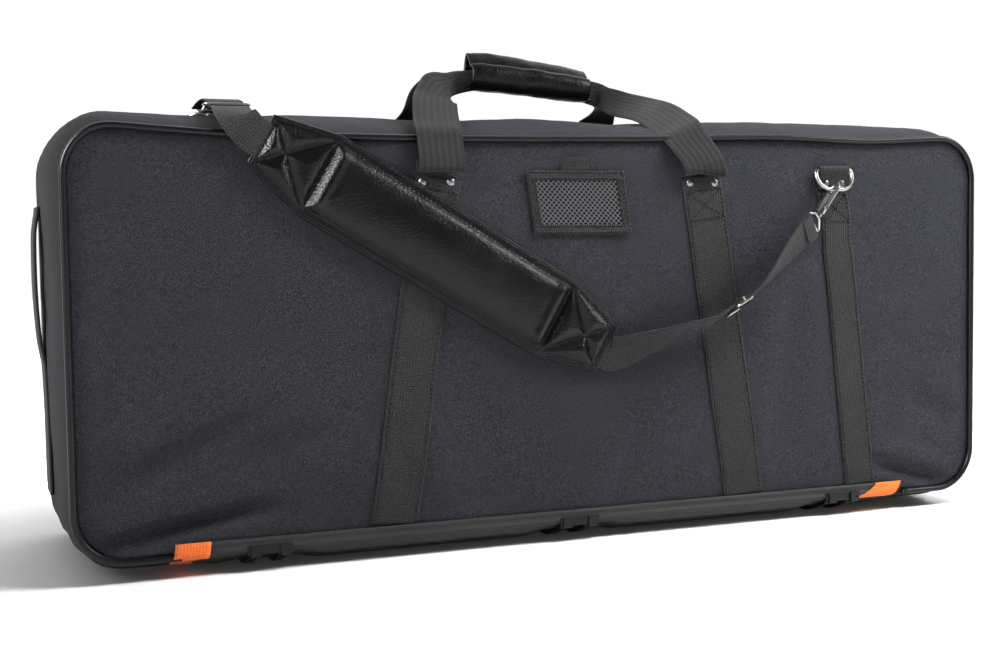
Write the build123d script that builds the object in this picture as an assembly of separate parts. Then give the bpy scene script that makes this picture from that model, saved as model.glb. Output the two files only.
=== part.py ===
from build123d import *
import os
from math import cos, radians, sin

# Telescope carry case. Millimetres. X runs along the case, Y from the front face to the lid, Z up.
# The case is drawn about the middle of its own depth and moved back by CASE_Y at the end,
# so that the box round the case with its strap hardware is centred on the origin.

# ---------------------------------------------------------------- driving dimensions
OUTLINE_W = 1055.0
OUTLINE_H = 424.0
CORNER_R = 50.0
LINE_Z = 20.0
FRONT_Y = -150.0
BACK_Y = 150.0
FEET_H = 6.0
CASE_Y = 18.0

SKIN = 2.0
FABRIC = 1.4
PIPING_R = 3.5
CAVITY_HALF_W = 508.0
CAVITY_LOW_Z = 30.0
CAVITY_HIGH_Z = 436.0
CAVITY_R = 25.0
LINING = 1.2
WALL_BACK_Y = -128.0

WEBBING = 1.8
HANDLE_WEBBING_W = 50.0
HANDLE_TOP_X = 156.0
HANDLE_BOTTOM_X = 208.0
HANDLE_REAR_X = 128.0
RIVET_Z = 388.0
RIVET_GAP = 31.0
RING_STRAP_W = 40.0
RING_STRAP_X = 366.5
RING_BAR = (325.0, -155.2, 404.0)
BASE_PANEL_X = 408.0
STRIP_W = 35.0
RUNNER_X = 339.0
RUNNER_W = 46.0
END_WEBBING_W = 50.0

PAD_L = 430.0
PAD_W = 90.0
PAD_END_W = 54.0
PAD_TAPER = 68.0
PAD_X = -154.0
PAD_Z = 319.0
PAD_TILT = 30.7
PAD_BACK_Y = -153.6
PAD_THICK = 12.0
STRAP_W = 38.0

GRIP_Z = 519.0
GRIP_L = 150.0
GRIP_TILT = 4.5
GRIP_END_X = 113.0

MID_Z = LINE_Z + OUTLINE_H / 2
TOP_Z = LINE_Z + OUTLINE_H

# How far the walls swell past the piping line, by depth (y, swell).
BULGE = [
    (-145.8, 0.0), (-110.0, 13.0), (-50.0, 19.0), (30.0, 19.0), (90.0, 12.0), (112.0, 4.0), (128.0, 4.0),
]


def keep(name, shape):
    """Write one sub-part, moved into the row's frame."""
    export_step(Pos(0, CASE_Y, 0) * shape, f"parts/{name}.step")


def pair(name, make):
    """Write a left and a right piece as one node of two solids."""
    keep(name, Compound(children=[make(-1), make(1)]))


def slab(x0, x1, y0, y1, z0, z1):
    """A box between two corners."""
    centre = Pos((x0 + x1) / 2, (y0 + y1) / 2, (z0 + z1) / 2)
    return centre * Box(x1 - x0, y1 - y0, z1 - z0)


def upright(y):
    """The drawing plane at depth y: x along the case, local y up."""
    return Plane(origin=(0, y, MID_Z), x_dir=(1, 0, 0), z_dir=(0, -1, 0))


def outline(y, grow):
    """The case's rounded outline at depth y, grown all round."""
    face = RectangleRounded(OUTLINE_W + 2 * grow, OUTLINE_H + 2 * grow, CORNER_R + grow)
    return upright(y) * face


def outline_plate(y0, y1, grow):
    """A flat plate of the outline between two depths."""
    return extrude(outline(y1, grow), amount=y1 - y0)


def swollen(grow, stations=BULGE, reach=0.0):
    """The swollen body of the case, grown all round and flattened underneath."""
    depths = list(stations)
    if reach:
        depths[0] = (depths[0][0] - reach, depths[0][1])
        depths[-1] = (depths[-1][0] + reach, depths[-1][1])
    solid = loft([outline(y, swell + grow) for y, swell in depths], ruled=True)
    floor = FEET_H - grow
    return solid & slab(-900, 900, -300, 300, floor, 900)


def layer(inner, outer, stations=BULGE):
    """The wall between two grown bodies, open at the front and at the back."""
    return swollen(outer, stations) - swollen(inner, stations, reach=2.0)


def ribbon(stations, thick):
    """Flat webbing through (point, across, width) stations."""
    points = [Vector(*p) for p, across, width in stations]
    last = len(points) - 1
    sections = []
    for i, (point, across, width) in enumerate(stations):
        ahead = (points[min(i + 1, last)] - points[max(i - 1, 0)]).normalized()
        side = Vector(*across).normalized()
        normal = side.cross(ahead).normalized() * (thick / 2)
        half = side * (width / 2)
        p = points[i]
        corners = [p - half - normal, p + half - normal, p + half + normal, p - half + normal]
        sections.append(Wire.make_polygon(corners, close=True))
    return Solid.make_loft(sections, ruled=True)


def wire_rod(path, radius):
    """A round rod along a path."""
    start = Plane(origin=path @ 0, z_dir=path % 0)
    return sweep(start * Circle(radius), path=path)


def lower_band(x0, x1, level, thick):
    """The front edge of a base layer: from under the case round the lower edge and up the face."""
    back, face = -144.6, FRONT_Y - 0.3 - level
    low, high = LINE_Z - level, LINE_Z + 14.0
    inner = low + thick
    points = [
        (back, low),
        (face - thick + 1.0, low),
        (face - thick, low + 1.0),
        (face - thick, high),
        (face, high),
        (face, inner),
        (back, inner),
    ]
    profile = Plane.YZ * make_face(Polyline(*points, close=True))
    return Pos(x0, 0, 0) * extrude(profile, amount=x1 - x0)


def under(x0, x1, inner, outer, y0=-146.0, y1=124.5):
    """A strip of a base layer between two lengths."""
    return layer(inner, outer) & slab(x0, x1, y0, y1, -5, LINE_Z + 6)


# ---------------------------------------------------------------- case shell
def case_shell():
    skin = layer(-SKIN, 0) & slab(-900, 900, -146, 124.5, -5, 900)
    base_zone = slab(-BASE_PANEL_X, BASE_PANEL_X, -160, 140, -5, LINE_Z + 6)
    keep("gusset", skin - base_zone)
    base = under(-BASE_PANEL_X + 0.2, BASE_PANEL_X - 0.2, -SKIN, 0)
    lip = lower_band(-BASE_PANEL_X + 0.2, BASE_PANEL_X - 0.2, 0.0, 1.9)
    keep("base_panel", base + lip)
    keep("front_panel", outline_plate(FRONT_Y, FRONT_Y + FABRIC, -5.3))


def foam_and_lining():
    inside = upright(128.0) * RectangleRounded(
        2 * (CAVITY_HALF_W + LINING + 0.2),
        CAVITY_HIGH_Z - CAVITY_LOW_Z + 2 * (LINING + 0.2),
        CAVITY_R,
    )
    cavity = extrude(inside, amount=300)
    block = (swollen(-SKIN - 0.4) & slab(-900, 900, WALL_BACK_Y + 0.3, 127.5, -5, 900)) - cavity
    board = slab(-469, 469, -88, 62, FEET_H + SKIN + 0.6, FEET_H + SKIN + 3.4)
    block -= slab(-469.5, 469.5, -88.5, 62.5, 0, FEET_H + SKIN + 3.6)
    side, low, high = 470.0, 72.0, 394.0
    keep("base_board", board)
    keep("top_foam", block & slab(-side, side, -200, 200, 300, 900))
    keep("base_foam", block & slab(-side, side, -200, 200, -5, 200))
    keep("left_foam", block & slab(-900, -300, -200, 200, low, high))
    keep("right_foam", block & slab(300, 900, -200, 200, low, high))
    corners = []
    for x0, x1 in ((-900, -side - 0.2), (side + 0.2, 900)):
        corners.append(block & slab(x0, x1, -200, 200, -5, low - 0.2))
        corners.append(block & slab(x0, x1, -200, 200, high + 0.2, 900))
    keep("corner_bolsters", Compound(children=corners))

    back = swollen(-SKIN - 0.4) & slab(-900, 900, -145.2, WALL_BACK_Y, -5, 900)
    keep("front_foam", back + outline_plate(FRONT_Y + FABRIC + 0.1, -145.0, -5.5))
    outer = upright(127.4) * RectangleRounded(
        2 * (CAVITY_HALF_W + LINING), CAVITY_HIGH_Z - CAVITY_LOW_Z + 2 * LINING, CAVITY_R
    )
    inner = upright(127.4) * RectangleRounded(
        2 * CAVITY_HALF_W, CAVITY_HIGH_Z - CAVITY_LOW_Z, CAVITY_R - LINING
    )
    keep("front_lining", Pos(0, WALL_BACK_Y + 0.2 - 127.4, 0) * extrude(inner, amount=-1.0))
    keep("tray_lining", extrude(outer - inner, amount=127.4 - WALL_BACK_Y - 1.4))


def piping():
    inset = 1.0
    half = OUTLINE_W / 2 - inset
    low, high = LINE_Z + inset, TOP_Z - inset
    end = BASE_PANEL_X + STRIP_W / 2 + 0.6
    y = FRONT_Y + 0.5
    corners = [
        (-end, y, low), (-half, y, low), (-half, y, high), (half, y, high), (half, y, low), (end, y, low),
    ]
    path = FilletPolyline(*corners, radius=CORNER_R - inset)
    keep("front_piping", wire_rod(path, PIPING_R))
    loop = upright(BACK_Y - 0.5) * RectangleRounded(2 * half, high - low, CORNER_R - inset)
    start = Plane(origin=(0, BACK_Y - 0.5, high), z_dir=(1, 0, 0))
    keep("rear_piping", sweep(start * Circle(PIPING_R), path=loop.faces()[0].outer_wire()))


# ---------------------------------------------------------------- lid and its zip
def lid():
    band = [(132.5, 4.0), (141.0, 4.0), (145.8, 0.0)]
    shell = loft([outline(y, swell) for y, swell in band], ruled=True)
    inner = [(130.0, 4.0), (141.0, 4.0), (145.8, 0.0), (147.0, 0.0)]
    core = loft([outline(y, swell - SKIN) for y, swell in inner], ruled=True)
    keep("lid_band", shell - core)
    keep("lid_panel", outline_plate(BACK_Y - FABRIC, BACK_Y, -5.3))
    plug = loft([outline(y, swell - 2.4) for y, swell in [(130.2, 4.0)] + band[1:]], ruled=True)
    keep("lid_foam", plug + outline_plate(145.0, BACK_Y - FABRIC - 0.1, -5.5))
    keep("lid_lining", outline_plate(128.8, 130.0, -6.0))


def zip_line():
    """Tapes and coils run up both ends and along the top."""
    above = slab(-900, 900, 0, 200, 62, 900)
    swell = 4.0
    for name, y0, y1, low, high in (
        ("zip_tape_tray", 116.5, 127.4, 0.1, 1.1),
        ("zip_tape_lid", 129.6, 140.5, 0.1, 1.1),
        ("zip_coil_tray", 126.9, 128.3, 1.2, 2.8),
        ("zip_coil_lid", 128.7, 130.1, 1.2, 2.8),
    ):
        ring = outline_plate(y0, y1, swell + high) - outline_plate(y0 - 1, y1 + 1, swell + low)
        keep(name, ring & above)


def zip_slider(side):
    """A slider over the coils, with a bail for the pull; side -1 is the left one."""
    z = TOP_Z + 4.0
    body = slab(-7, 7, 124.6, 131.6, z + 3.7, z + 4.9) + slab(-7, 7, 124.6, 126.4, z + 1.5, z + 3.8)
    bail_z = z + 6.6
    bail = slab(-3.5, 3.5, 127.0, 129.0, z + 4.8, bail_z)
    bail += Pos(0, 128, bail_z) * Rot(90, 0, 0) * Cylinder(3.5, 2.0)
    bail = bail & slab(-4, 4, 126, 130, z + 4.8, bail_z + 2.2)
    bore = Pos(0, 128, bail_z) * Rot(90, 0, 0) * Cylinder(1.0, 6.0)
    where = Pos(40.0 * side, 0, 0)
    name = "left" if side < 0 else "right"
    keep(f"zip_slider_{name}", where * (body + bail - bore))
    pin = Pos(0, 128, bail_z) * Rot(90, 0, 0) * Cylinder(0.93, 4.8)
    pull = pin
    for y in (125.9, 130.1):
        pull += slab(-10.0, 0.9, y - 0.6, y + 0.6, bail_z - 0.9, bail_z + 0.9)
    tab = slab(-34.0, -8.0, 123.5, 132.5, bail_z - 0.8, bail_z + 0.8)
    tab -= Pos(-28, 128, bail_z) * Cylinder(2.0, 4.0)
    pull += tab
    if side > 0:
        pull = mirror(pull, about=Plane.YZ)
    keep(f"zip_pull_{name}", where * pull)


# ---------------------------------------------------------------- webbing on the shell
def front_strap(side):
    """The sewn stretch of a handle strap, leaning outwards down the front face."""
    top_z, low_z, over = 398.0, LINE_Z + 14.5, 12.0
    slope = (HANDLE_BOTTOM_X - HANDLE_TOP_X) / 355.0
    across = (1, 0, side * slope)
    y = FRONT_Y - 0.2 - WEBBING / 2
    top = (side * (HANDLE_TOP_X - slope * (top_z + over - RIVET_Z)), y, top_z + over)
    low = (side * (HANDLE_TOP_X + slope * (RIVET_Z - low_z + over)), y, low_z - over)
    strap = ribbon([(top, across, HANDLE_WEBBING_W), (low, across, HANDLE_WEBBING_W)], WEBBING)
    for x in rivet_xs(side):
        strap -= Pos(x, y, RIVET_Z) * Rot(90, 0, 0) * Cylinder(1.6, 8)
    return strap & slab(-600, 600, -200, 0, low_z, top_z)


def rivet_xs(side):
    """Where the two rivets of a handle strap sit along the case."""
    return [side * HANDLE_TOP_X - RIVET_GAP / 2, side * HANDLE_TOP_X + RIVET_GAP / 2]


def top_height(y):
    """Height of the swollen top at depth y."""
    for (y0, s0), (y1, s1) in zip(BULGE, BULGE[1:]):
        if y0 <= y <= y1:
            return TOP_Z + s0 + (s1 - s0) * (y - y0) / (y1 - y0)
    return TOP_Z


def rear_strap(side):
    """The sewn end of a handle strap on the top, just ahead of the zip."""
    lift = 0.3 + WEBBING / 2
    stations = []
    for y in (115.0, 112.0, 90.0, 80.0):
        point = (side * HANDLE_REAR_X, y, top_height(y) + lift + 0.25)
        stations.append((point, (side, 0, 0), HANDLE_WEBBING_W))
    return ribbon(stations, WEBBING)


def grip_point(x, y, z):
    """A point given about the grip's middle, tilted with the grip."""
    turn = radians(GRIP_TILT)
    return (x * cos(turn) + z * sin(turn), y, GRIP_Z - x * sin(turn) + z * cos(turn))


def front_riser(side):
    """The loose stretch of a handle strap from its rivets over the front edge to the grip."""
    end = grip_point(side * (GRIP_END_X + 3.0), -5.6, 0)
    wide, narrow = HANDLE_WEBBING_W, 24.0
    front = [
        ((side * 154.4, -151.1, 398.6), (side, 0, 0), wide),
        ((side * 153.0, -152.4, 430.0), (side, 0, 0), wide),
        ((side * 152.2, -154.9, 442.0), (side, 0, 0), wide),
        ((side * 151.2, -153.0, 450.0), (side, 0, 0), wide),
        ((side * 150.0, -146.5, 454.0), (side, 0, 0), wide),
        ((side * 134.0, -75.0, 490.0), (side * 0.7, 0, 0.7), 38.0),
        (end, (0, 0, 1), narrow),
    ]
    return ribbon(front, WEBBING)


def rear_riser(side):
    """The loose stretch from the top, ahead of the zip, to the grip."""
    end = grip_point(side * (GRIP_END_X + 3.0), 5.6, 0)
    wide, narrow = HANDLE_WEBBING_W, 24.0
    rear = [
        ((side * HANDLE_REAR_X, 79.3, top_height(80.0) + 1.6), (side, 0, 0), wide),
        ((side * (HANDLE_REAR_X - 0.5), 70.0, 466.0), (side, 0, 0), wide),
        ((side * (HANDLE_REAR_X - 4.0), 38.0, 489.0), (side * 0.7, 0, 0.7), 38.0),
        (end, (0, 0, 1), narrow),
    ]
    return ribbon(rear, WEBBING)


def grip():
    """The webbing through the grip, the padded wrap round it and the wrap's front flap."""
    pose = Pos(0, 0, GRIP_Z) * Rot(0, GRIP_TILT, 0)
    strips = []
    for y in (-5.6, 5.6):
        strips.append(pose * slab(-GRIP_END_X, GRIP_END_X, y - 1.8, y + 1.8, -12.5, 12.5))
    keep("grip_webbing", Compound(children=strips))
    half = GRIP_L / 2
    section = Plane.YZ * (RectangleRounded(30, 38, 10) - RectangleRounded(22, 30, 6))
    tube = Pos(-half, 0, 0) * extrude(section, amount=GRIP_L)
    tube -= slab(-90, 90, -30, 7.0, -30, 12.0)
    keep("grip_wrap", pose * tube)
    flap = slab(-half, half, -19.0, -15.4, -20.0, 12.5)
    flap += slab(-half, half, -19.0, 6.0, -23.6, -20.0)
    keep("grip_flap", pose * flap)


def ring_strap():
    """The D-ring's strap on the front face, with the loop that holds the ring's bar."""
    x, y, z = RING_BAR
    slope = (RING_STRAP_X - x) / (z - LINE_Z - 16)
    low_z, fold_z = LINE_Z + 14.5, 392.0
    mid_y = FRONT_Y - 0.2 - WEBBING / 2
    across = (1, 0, slope)
    low = (x + slope * (z - low_z), mid_y, low_z)
    high = (x + slope * (z - fold_z), mid_y, fold_z)
    strap = ribbon([(high, across, RING_STRAP_W), (low, across, RING_STRAP_W)], WEBBING)
    strap &= slab(0, 600, -200, 0, low_z, 500)
    front, back = y - 4.0, FRONT_Y - 0.2
    fold = [(back, 384.0), (back - 3.6, 384.0), (back - 3.6, 394.0), (front, z), (back, z)]
    loop = Plane.YZ * (make_face(Polyline(*fold, close=True)) + Pos(y, z) * Circle(4.0))
    loop -= Plane.YZ * Pos(y, z) * Circle(2.5)
    loop = Pos(x - RING_STRAP_W / 2, 0, 0) * extrude(loop, amount=RING_STRAP_W)
    loop &= slab(0, 600, -200, back, 300, 500)
    for cx in ring_rivet_xs():
        loop -= Pos(cx, y, RIVET_Z + 1.5) * Rot(90, 0, 0) * Cylinder(1.6, 30)
        strap -= Pos(cx, y, RIVET_Z + 1.5) * Rot(90, 0, 0) * Cylinder(1.6, 30)
    keep("ring_strap_front", strap + loop)


def ring_rivet_xs():
    """Where the two rivets under the D-ring sit along the case."""
    return [RING_BAR[0] - 12.0, RING_BAR[0] + 12.0]


REAR_BAR = (-352.0, 92.0, 465.0)


def rear_ring_tab():
    """The short tab on the top that holds the rear D-ring."""
    x, y, z = REAR_BAR
    feet = [(114.5, 448.9), (114.5, 450.9), (92.0, 469.0), (88.0, 465.0), (90.5, 457.4), (91.0, 456.8)]
    tab = Plane.YZ * (make_face(Polyline(*feet, close=True)) + Pos(y, z) * Circle(4.0))
    tab -= Plane.YZ * Pos(y, z) * Circle(2.5)
    keep("ring_tab_rear", Pos(x - 20, 0, 0) * extrude(tab, amount=RING_STRAP_W))


def rivets():
    """Domed rivets through the handle straps and the D-ring loop."""
    heads = []
    spots = [(x, RIVET_Z, FRONT_Y - 0.2 - WEBBING) for side in (-1, 1) for x in rivet_xs(side)]
    spots += [(x, RIVET_Z + 1.5, FRONT_Y - 0.2 - 3.6) for x in ring_rivet_xs()]
    for x, z, face in spots:
        dome = Pos(x, face + 2.0, z) * Sphere(5.2)
        dome &= slab(x - 9, x + 9, face - 6, face - 0.1, z - 9, z + 9)
        shank = slab(x - 2, x + 2, face - 0.3, FRONT_Y - 0.25, z - 2, z + 2)
        shank &= Pos(x, FRONT_Y, z) * Rot(90, 0, 0) * Cylinder(1.5, 20)
        heads.append(dome + shank)
    keep("rivets", Compound(children=heads))


def id_pocket():
    """Sewn pocket with a mesh window; the card slides up out of it."""
    half_w, low, high, frame_w = 57.5, 333.0, 401.0, 13.0
    face = FRONT_Y - 0.2
    front = slab(-half_w, half_w, face - 3.0, face - 1.7, low, high)
    front -= slab(-half_w + frame_w, half_w - frame_w, face - 9, face, low + frame_w, high - frame_w)
    edge = slab(-half_w, half_w, face - 1.7, face, low, high)
    edge -= slab(-half_w + 5, half_w - 5, face - 3, face + 1, low + 4, high + 1)
    keep("id_pocket", front + edge)
    inner = slab(-44.2, 44.2, face - 2.8, face - 2.3, low + 13.3, high - 13.3)
    keep("id_mesh", inner)
    card = slab(-50, 50, face - 0.9, face - 0.4, low + 6, high - 3)
    keep("id_card", card)
    tab = slab(-16, 16, face - 1.4, face - 0.3, high - 2.7, high + 15)
    keep("id_pull_tab", tab)


def orange_strip(side):
    """The orange strip over one base seam."""
    x = side * BASE_PANEL_X
    strip = under(x - STRIP_W / 2, x + STRIP_W / 2, 0.2, 1.3)
    lip = lower_band(x - STRIP_W / 2, x + STRIP_W / 2, 2.1, 1.1)
    link = slab(x - STRIP_W / 2, x + STRIP_W / 2, -145.6, -144.4, LINE_Z - 2.0, LINE_Z - 0.9)
    return strip + lip + link


def runners():
    """Ribbed skid runners under the base, their noses turned up over the lower front edge."""
    solids = []
    half = RUNNER_W / 2
    nose_top = LINE_Z + 7.0
    for x in (-RUNNER_X, 0.0, RUNNER_X):
        runner = under(x - half, x + half, 0.2, 2.0, y1=104.0)
        nose = lower_band(x - half, x + half, 2.1, 2.0)
        for dx in (-15.0, 15.0):
            runner += under(x + dx - 5.0, x + dx + 5.0, 0.2, FEET_H, y1=104.0)
            nose += lower_band(x + dx - 5.0, x + dx + 5.0, 4.0, 2.6)
        solids.append(runner + (nose & slab(x - 30, x + 30, -200, 0, 0, nose_top)))
    keep("skid_runners", Compound(children=solids))


def end_handle(side):
    """Webbing handle on one end: a loose loop over a strap sewn down the end."""
    near = OUTLINE_W / 2 + 19.0
    stations = []
    for out, z in (
        (1.3, 392.0), (1.3, 366.0), (3.2, 356.0), (9.6, 332.0), (10.4, 283.0),
        (9.6, 236.0), (3.2, 212.0), (1.3, 200.0), (1.3, 72.0),
    ):
        stations.append(((side * (near + out), 0, z), (0, 1, 0), END_WEBBING_W))
    return ribbon(stations, WEBBING)


# ---------------------------------------------------------------- shoulder strap
def pad_plane(y):
    turn = radians(PAD_TILT)
    return Plane(origin=(PAD_X, y, PAD_Z), x_dir=(cos(turn), 0, -sin(turn)), z_dir=(0, -1, 0))


def pad_outline(inset):
    half, flat = PAD_L / 2 - inset, PAD_L / 2 - PAD_TAPER
    wide, end = PAD_W / 2 - inset, PAD_END_W / 2 - inset
    points = [
        (-half, -end), (-flat, -wide), (flat, -wide), (half, -end),
        (half, end), (flat, wide), (-flat, wide), (-half, end),
    ]
    return make_face(Polyline(*points, close=True))


def shoulder_pad():
    """Backing sheet, foam and padded cover, laid slantwise on the front face."""
    plane = pad_plane(PAD_BACK_Y)
    keep("pad_backing", extrude(plane * pad_outline(0), amount=1.4))
    lifted = pad_plane(PAD_BACK_Y - 1.5)
    foam_t = PAD_THICK - 3.2
    keep("pad_foam", extrude(lifted * pad_outline(8.2), amount=foam_t))
    cover = extrude(lifted * pad_outline(0), amount=PAD_THICK - 1.5)
    room = extrude(pad_plane(PAD_BACK_Y) * pad_outline(8.0), amount=foam_t + 1.7)
    keep("pad_cover", cover - room)


def along_pad(u, y):
    """A point on the pad's long axis, u from its middle."""
    turn = radians(PAD_TILT)
    return (PAD_X + u * cos(turn), y, PAD_Z - u * sin(turn))


FRONT_HOOK = (322.0, -162.0, 381.0)
FRONT_PULL = (-0.62, -0.05, -0.78)
FRONT_EYE_TURN = 27.0
REAR_HOOK = (-352.0, 69.5, 475.5)
REAR_PULL = (0.02, -1.0, -0.04)
EYE_REACH = 50.0


def eye_point(hook, pull, reach):
    a = Vector(*pull).normalized()
    p = Vector(*hook) + a * reach
    return (p.X, p.Y, p.Z)


def right_run():
    """Webbing from the pad's lower end, through the slider, up to the front snap hook."""
    start = along_pad(PAD_L / 2 + 17.0, -158.5)
    end = eye_point(FRONT_HOOK, FRONT_PULL, EYE_REACH + 4.5)
    route = [
        (start, 0), ((78, -160.5, 219.0), 8), ((118, -168.0, 227.0), 32), ((160, -173.5, 238.5), 48),
        ((213, -173.5, 266.5), 48), ((240, -170.0, 290.0), 42), ((266, -167.0, 317.0), 34),
        (end, FRONT_EYE_TURN),
    ]
    points = [Vector(*p) for p, tilt in route]
    stations = []
    for i, (p, tilt) in enumerate(route):
        ahead = (points[min(i + 1, len(points) - 1)] - points[max(i - 1, 0)]).normalized()
        flat = Vector(-ahead.Z, 0, ahead.X).normalized()
        across = flat * cos(radians(tilt)) + Vector(0, -1, 0) * sin(radians(tilt))
        stations.append((p, (across.X, across.Y, across.Z), STRAP_W))
    keep("strap_front_run", ribbon(stations, WEBBING))


LEFT_RUN_START = (-362.0, -108.0, 464.9)
LEFT_RUN_END = (-357.0, -30.0, 466.6)


def left_run():
    """Webbing from the pad's upper end over the front edge, through the slider, to the rear hook."""
    start = along_pad(-PAD_L / 2 - 0.5, -158.5)
    stations = [
        (start, (0.51, 0, 0.86), STRAP_W),
        ((-349.0, -159.5, 437.0), (0.60, 0, 0.80), STRAP_W),
        ((-357.5, -158.8, 447.0), (0.80, 0, 0.60), STRAP_W),
        ((-362.0, -153.0, 454.5), (0.95, 0, 0.30), STRAP_W),
        ((-363.5, -140.0, 459.5), (1.0, 0, 0.10), STRAP_W),
        (LEFT_RUN_START, (1, 0, 0), STRAP_W),
        (LEFT_RUN_END, (1, 0, 0), STRAP_W),
        (eye_point(REAR_HOOK, REAR_PULL, EYE_REACH + 4.5), (1, 0, 0), STRAP_W),
    ]
    keep("strap_rear_run", ribbon(stations, WEBBING))


def tri_glide(name, centre, ahead, across):
    """Strap slider: two side bars over the webbing and a centre bar under it."""
    plane = Plane(origin=centre, x_dir=ahead, z_dir=Vector(*ahead).cross(Vector(*across)).normalized())
    half_l, half_w = 12.0, STRAP_W / 2 + 5.0
    body = slab(-half_l, half_l, -half_w, half_w, 1.6, 4.2)
    body -= slab(-half_l + 4, half_l - 4, -half_w + 3.4, half_w - 3.4, 0, 6)
    for y in (-half_w + 1.7, half_w - 1.7):
        body += slab(-3.0, 3.0, y - 1.7, y + 1.7, -4.0, 2.0)
    body += slab(-2.0, 2.0, -half_w, half_w, -4.2, -1.6)
    keep(name, plane * body)


def d_ring(name, bar, drop, across):
    """A D-ring of round wire: its bar in the loop, its bow hanging along drop."""
    plane = Plane(origin=bar, x_dir=across, z_dir=Vector(*across).cross(Vector(*drop)).normalized())
    half, deep, small, big = 24.0, 24.0, 5.0, 17.0
    corners = [(-half, 0), (-half, deep), (half, deep), (half, 0)]
    path = plane * FilletPolyline(*corners, radius=[small, big, big, small], close=True)
    start = Plane(origin=path @ 0, z_dir=path % 0)
    keep(name, sweep(start * Circle(2.25), path=path))


def snap_hook(name, hook, pull, across, eye_turn=0.0):
    """Snap hook, its gate and the eye it swivels on. Local Z runs from the eye to the bend."""
    a = Vector(*pull).normalized()
    plane = Plane(origin=hook, x_dir=across, z_dir=(-a.X, -a.Y, -a.Z))
    leg, wire = 6.0, 2.4
    up = Line((0, -leg, -24), (0, -leg, 0))
    bend = ThreePointArc((0, -leg, 0), (0, 0, leg), (0, leg, 0))
    tip = Line((0, leg, 0), (0, leg, -5.0))
    body = wire_rod(Wire([up, bend, tip]), wire)
    body += Pos(0, 0, -29) * Cylinder(5.2, 12.0)
    body += slab(-2.4, 2.4, -leg - 2.0, -0.5, -27, -23.2)
    for x0, x1 in ((-4.2, -2.6), (2.6, 4.2)):
        body += slab(x0, x1, 2.0, leg + 2.0, -27.0, -18.8)
    pin_at = Pos(0, leg, -21.0) * Rot(0, 90, 0)
    body -= Pos(0, leg + 1, -21.0) * slab(-2.6, 2.6, -2.9, 3.5, -2.35, 3.0)
    body += pin_at * Cylinder(0.9, 8.0)
    body -= Pos(0, 0, -31.5) * Cylinder(2.06, 8.0)
    keep(f"{name}_hook", plane * body)
    gate = slab(-2.2, 2.2, leg - 1.4, leg + 1.4, -21.0, -6.0) + pin_at * Cylinder(2.0, 4.4)
    gate -= pin_at * Cylinder(0.96, 8.0)
    keep(f"{name}_gate", plane * gate)
    post = Pos(0, 0, -33.2) * Cylinder(2.0, 10.0)
    half = STRAP_W / 2 + 2.2
    corners = [(-6, 0, -39.6), (-half, 0, -EYE_REACH), (half, 0, -EYE_REACH), (6, 0, -39.6)]
    loop = FilletPolyline(*corners, radius=[3.4, 2.6, 2.6, 3.4], close=True)
    eye = post + wire_rod(loop, 1.7) + Pos(0, 0, -37.5) * Cylinder(4.0, 3.6)
    keep(f"{name}_eye", plane * Rot(0, 0, eye_turn) * eye)


# ---------------------------------------------------------------- inside the case
def inside_fittings():
    """A padded divider and two tie-down straps on the cavity floor."""
    low, high = CAVITY_LOW_Z + 3.4, CAVITY_HIGH_Z - 3.0
    keep("divider", slab(256.0, 276.0, WALL_BACK_Y + 4.0, 120.0, low, high))
    straps = []
    for x in (-300.0, 40.0):
        straps.append(slab(x - 20, x + 20, -118.0, 112.0, CAVITY_LOW_Z + 0.3, CAVITY_LOW_Z + 2.3))
    keep("tie_straps", Compound(children=straps))


# ---------------------------------------------------------------- build
os.makedirs("parts", exist_ok=True)
case_shell()
foam_and_lining()
piping()
lid()
zip_line()
for hand in (-1, 1):
    zip_slider(hand)
pair("front_straps", front_strap)
pair("rear_straps", rear_strap)
pair("front_risers", front_riser)
pair("rear_risers", rear_riser)
pair("end_handles", end_handle)
pair("orange_strips", orange_strip)
grip()
ring_strap()
rear_ring_tab()
rivets()
id_pocket()
runners()
shoulder_pad()
right_run()
left_run()
left_ahead = Vector(*LEFT_RUN_END) - Vector(*LEFT_RUN_START)
tri_glide("tri_glide_rear", Vector(-361.2, -96.0, 465.16), left_ahead.normalized(), (1, 0, 0))
right_ahead = Vector(53.0, 0, 28.0).normalized()
right_tilt = radians(48)
right_across = Vector(
    -right_ahead.Z * cos(right_tilt), -sin(right_tilt), right_ahead.X * cos(right_tilt)
)
tri_glide("tri_glide_front", Vector(186.5, -173.5, 252.5), right_ahead, right_across)
d_ring("d_ring_front", RING_BAR, (0.0, -6.8, -22.9), (1, 0, 0))
d_ring("d_ring_rear", REAR_BAR, (0.0, -22.0, 9.6), (1, 0, 0))
snap_hook("front", FRONT_HOOK, FRONT_PULL, (0.78, 0, -0.62), FRONT_EYE_TURN)
snap_hook("rear", REAR_HOOK, REAR_PULL, (1.0, 0.02, 0))
inside_fittings()
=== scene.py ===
"""Looks of the telescope carry case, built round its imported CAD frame. Metres, row frame."""

import math

import bpy
import numpy as np
from mathutils import Matrix, Vector, noise


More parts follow.
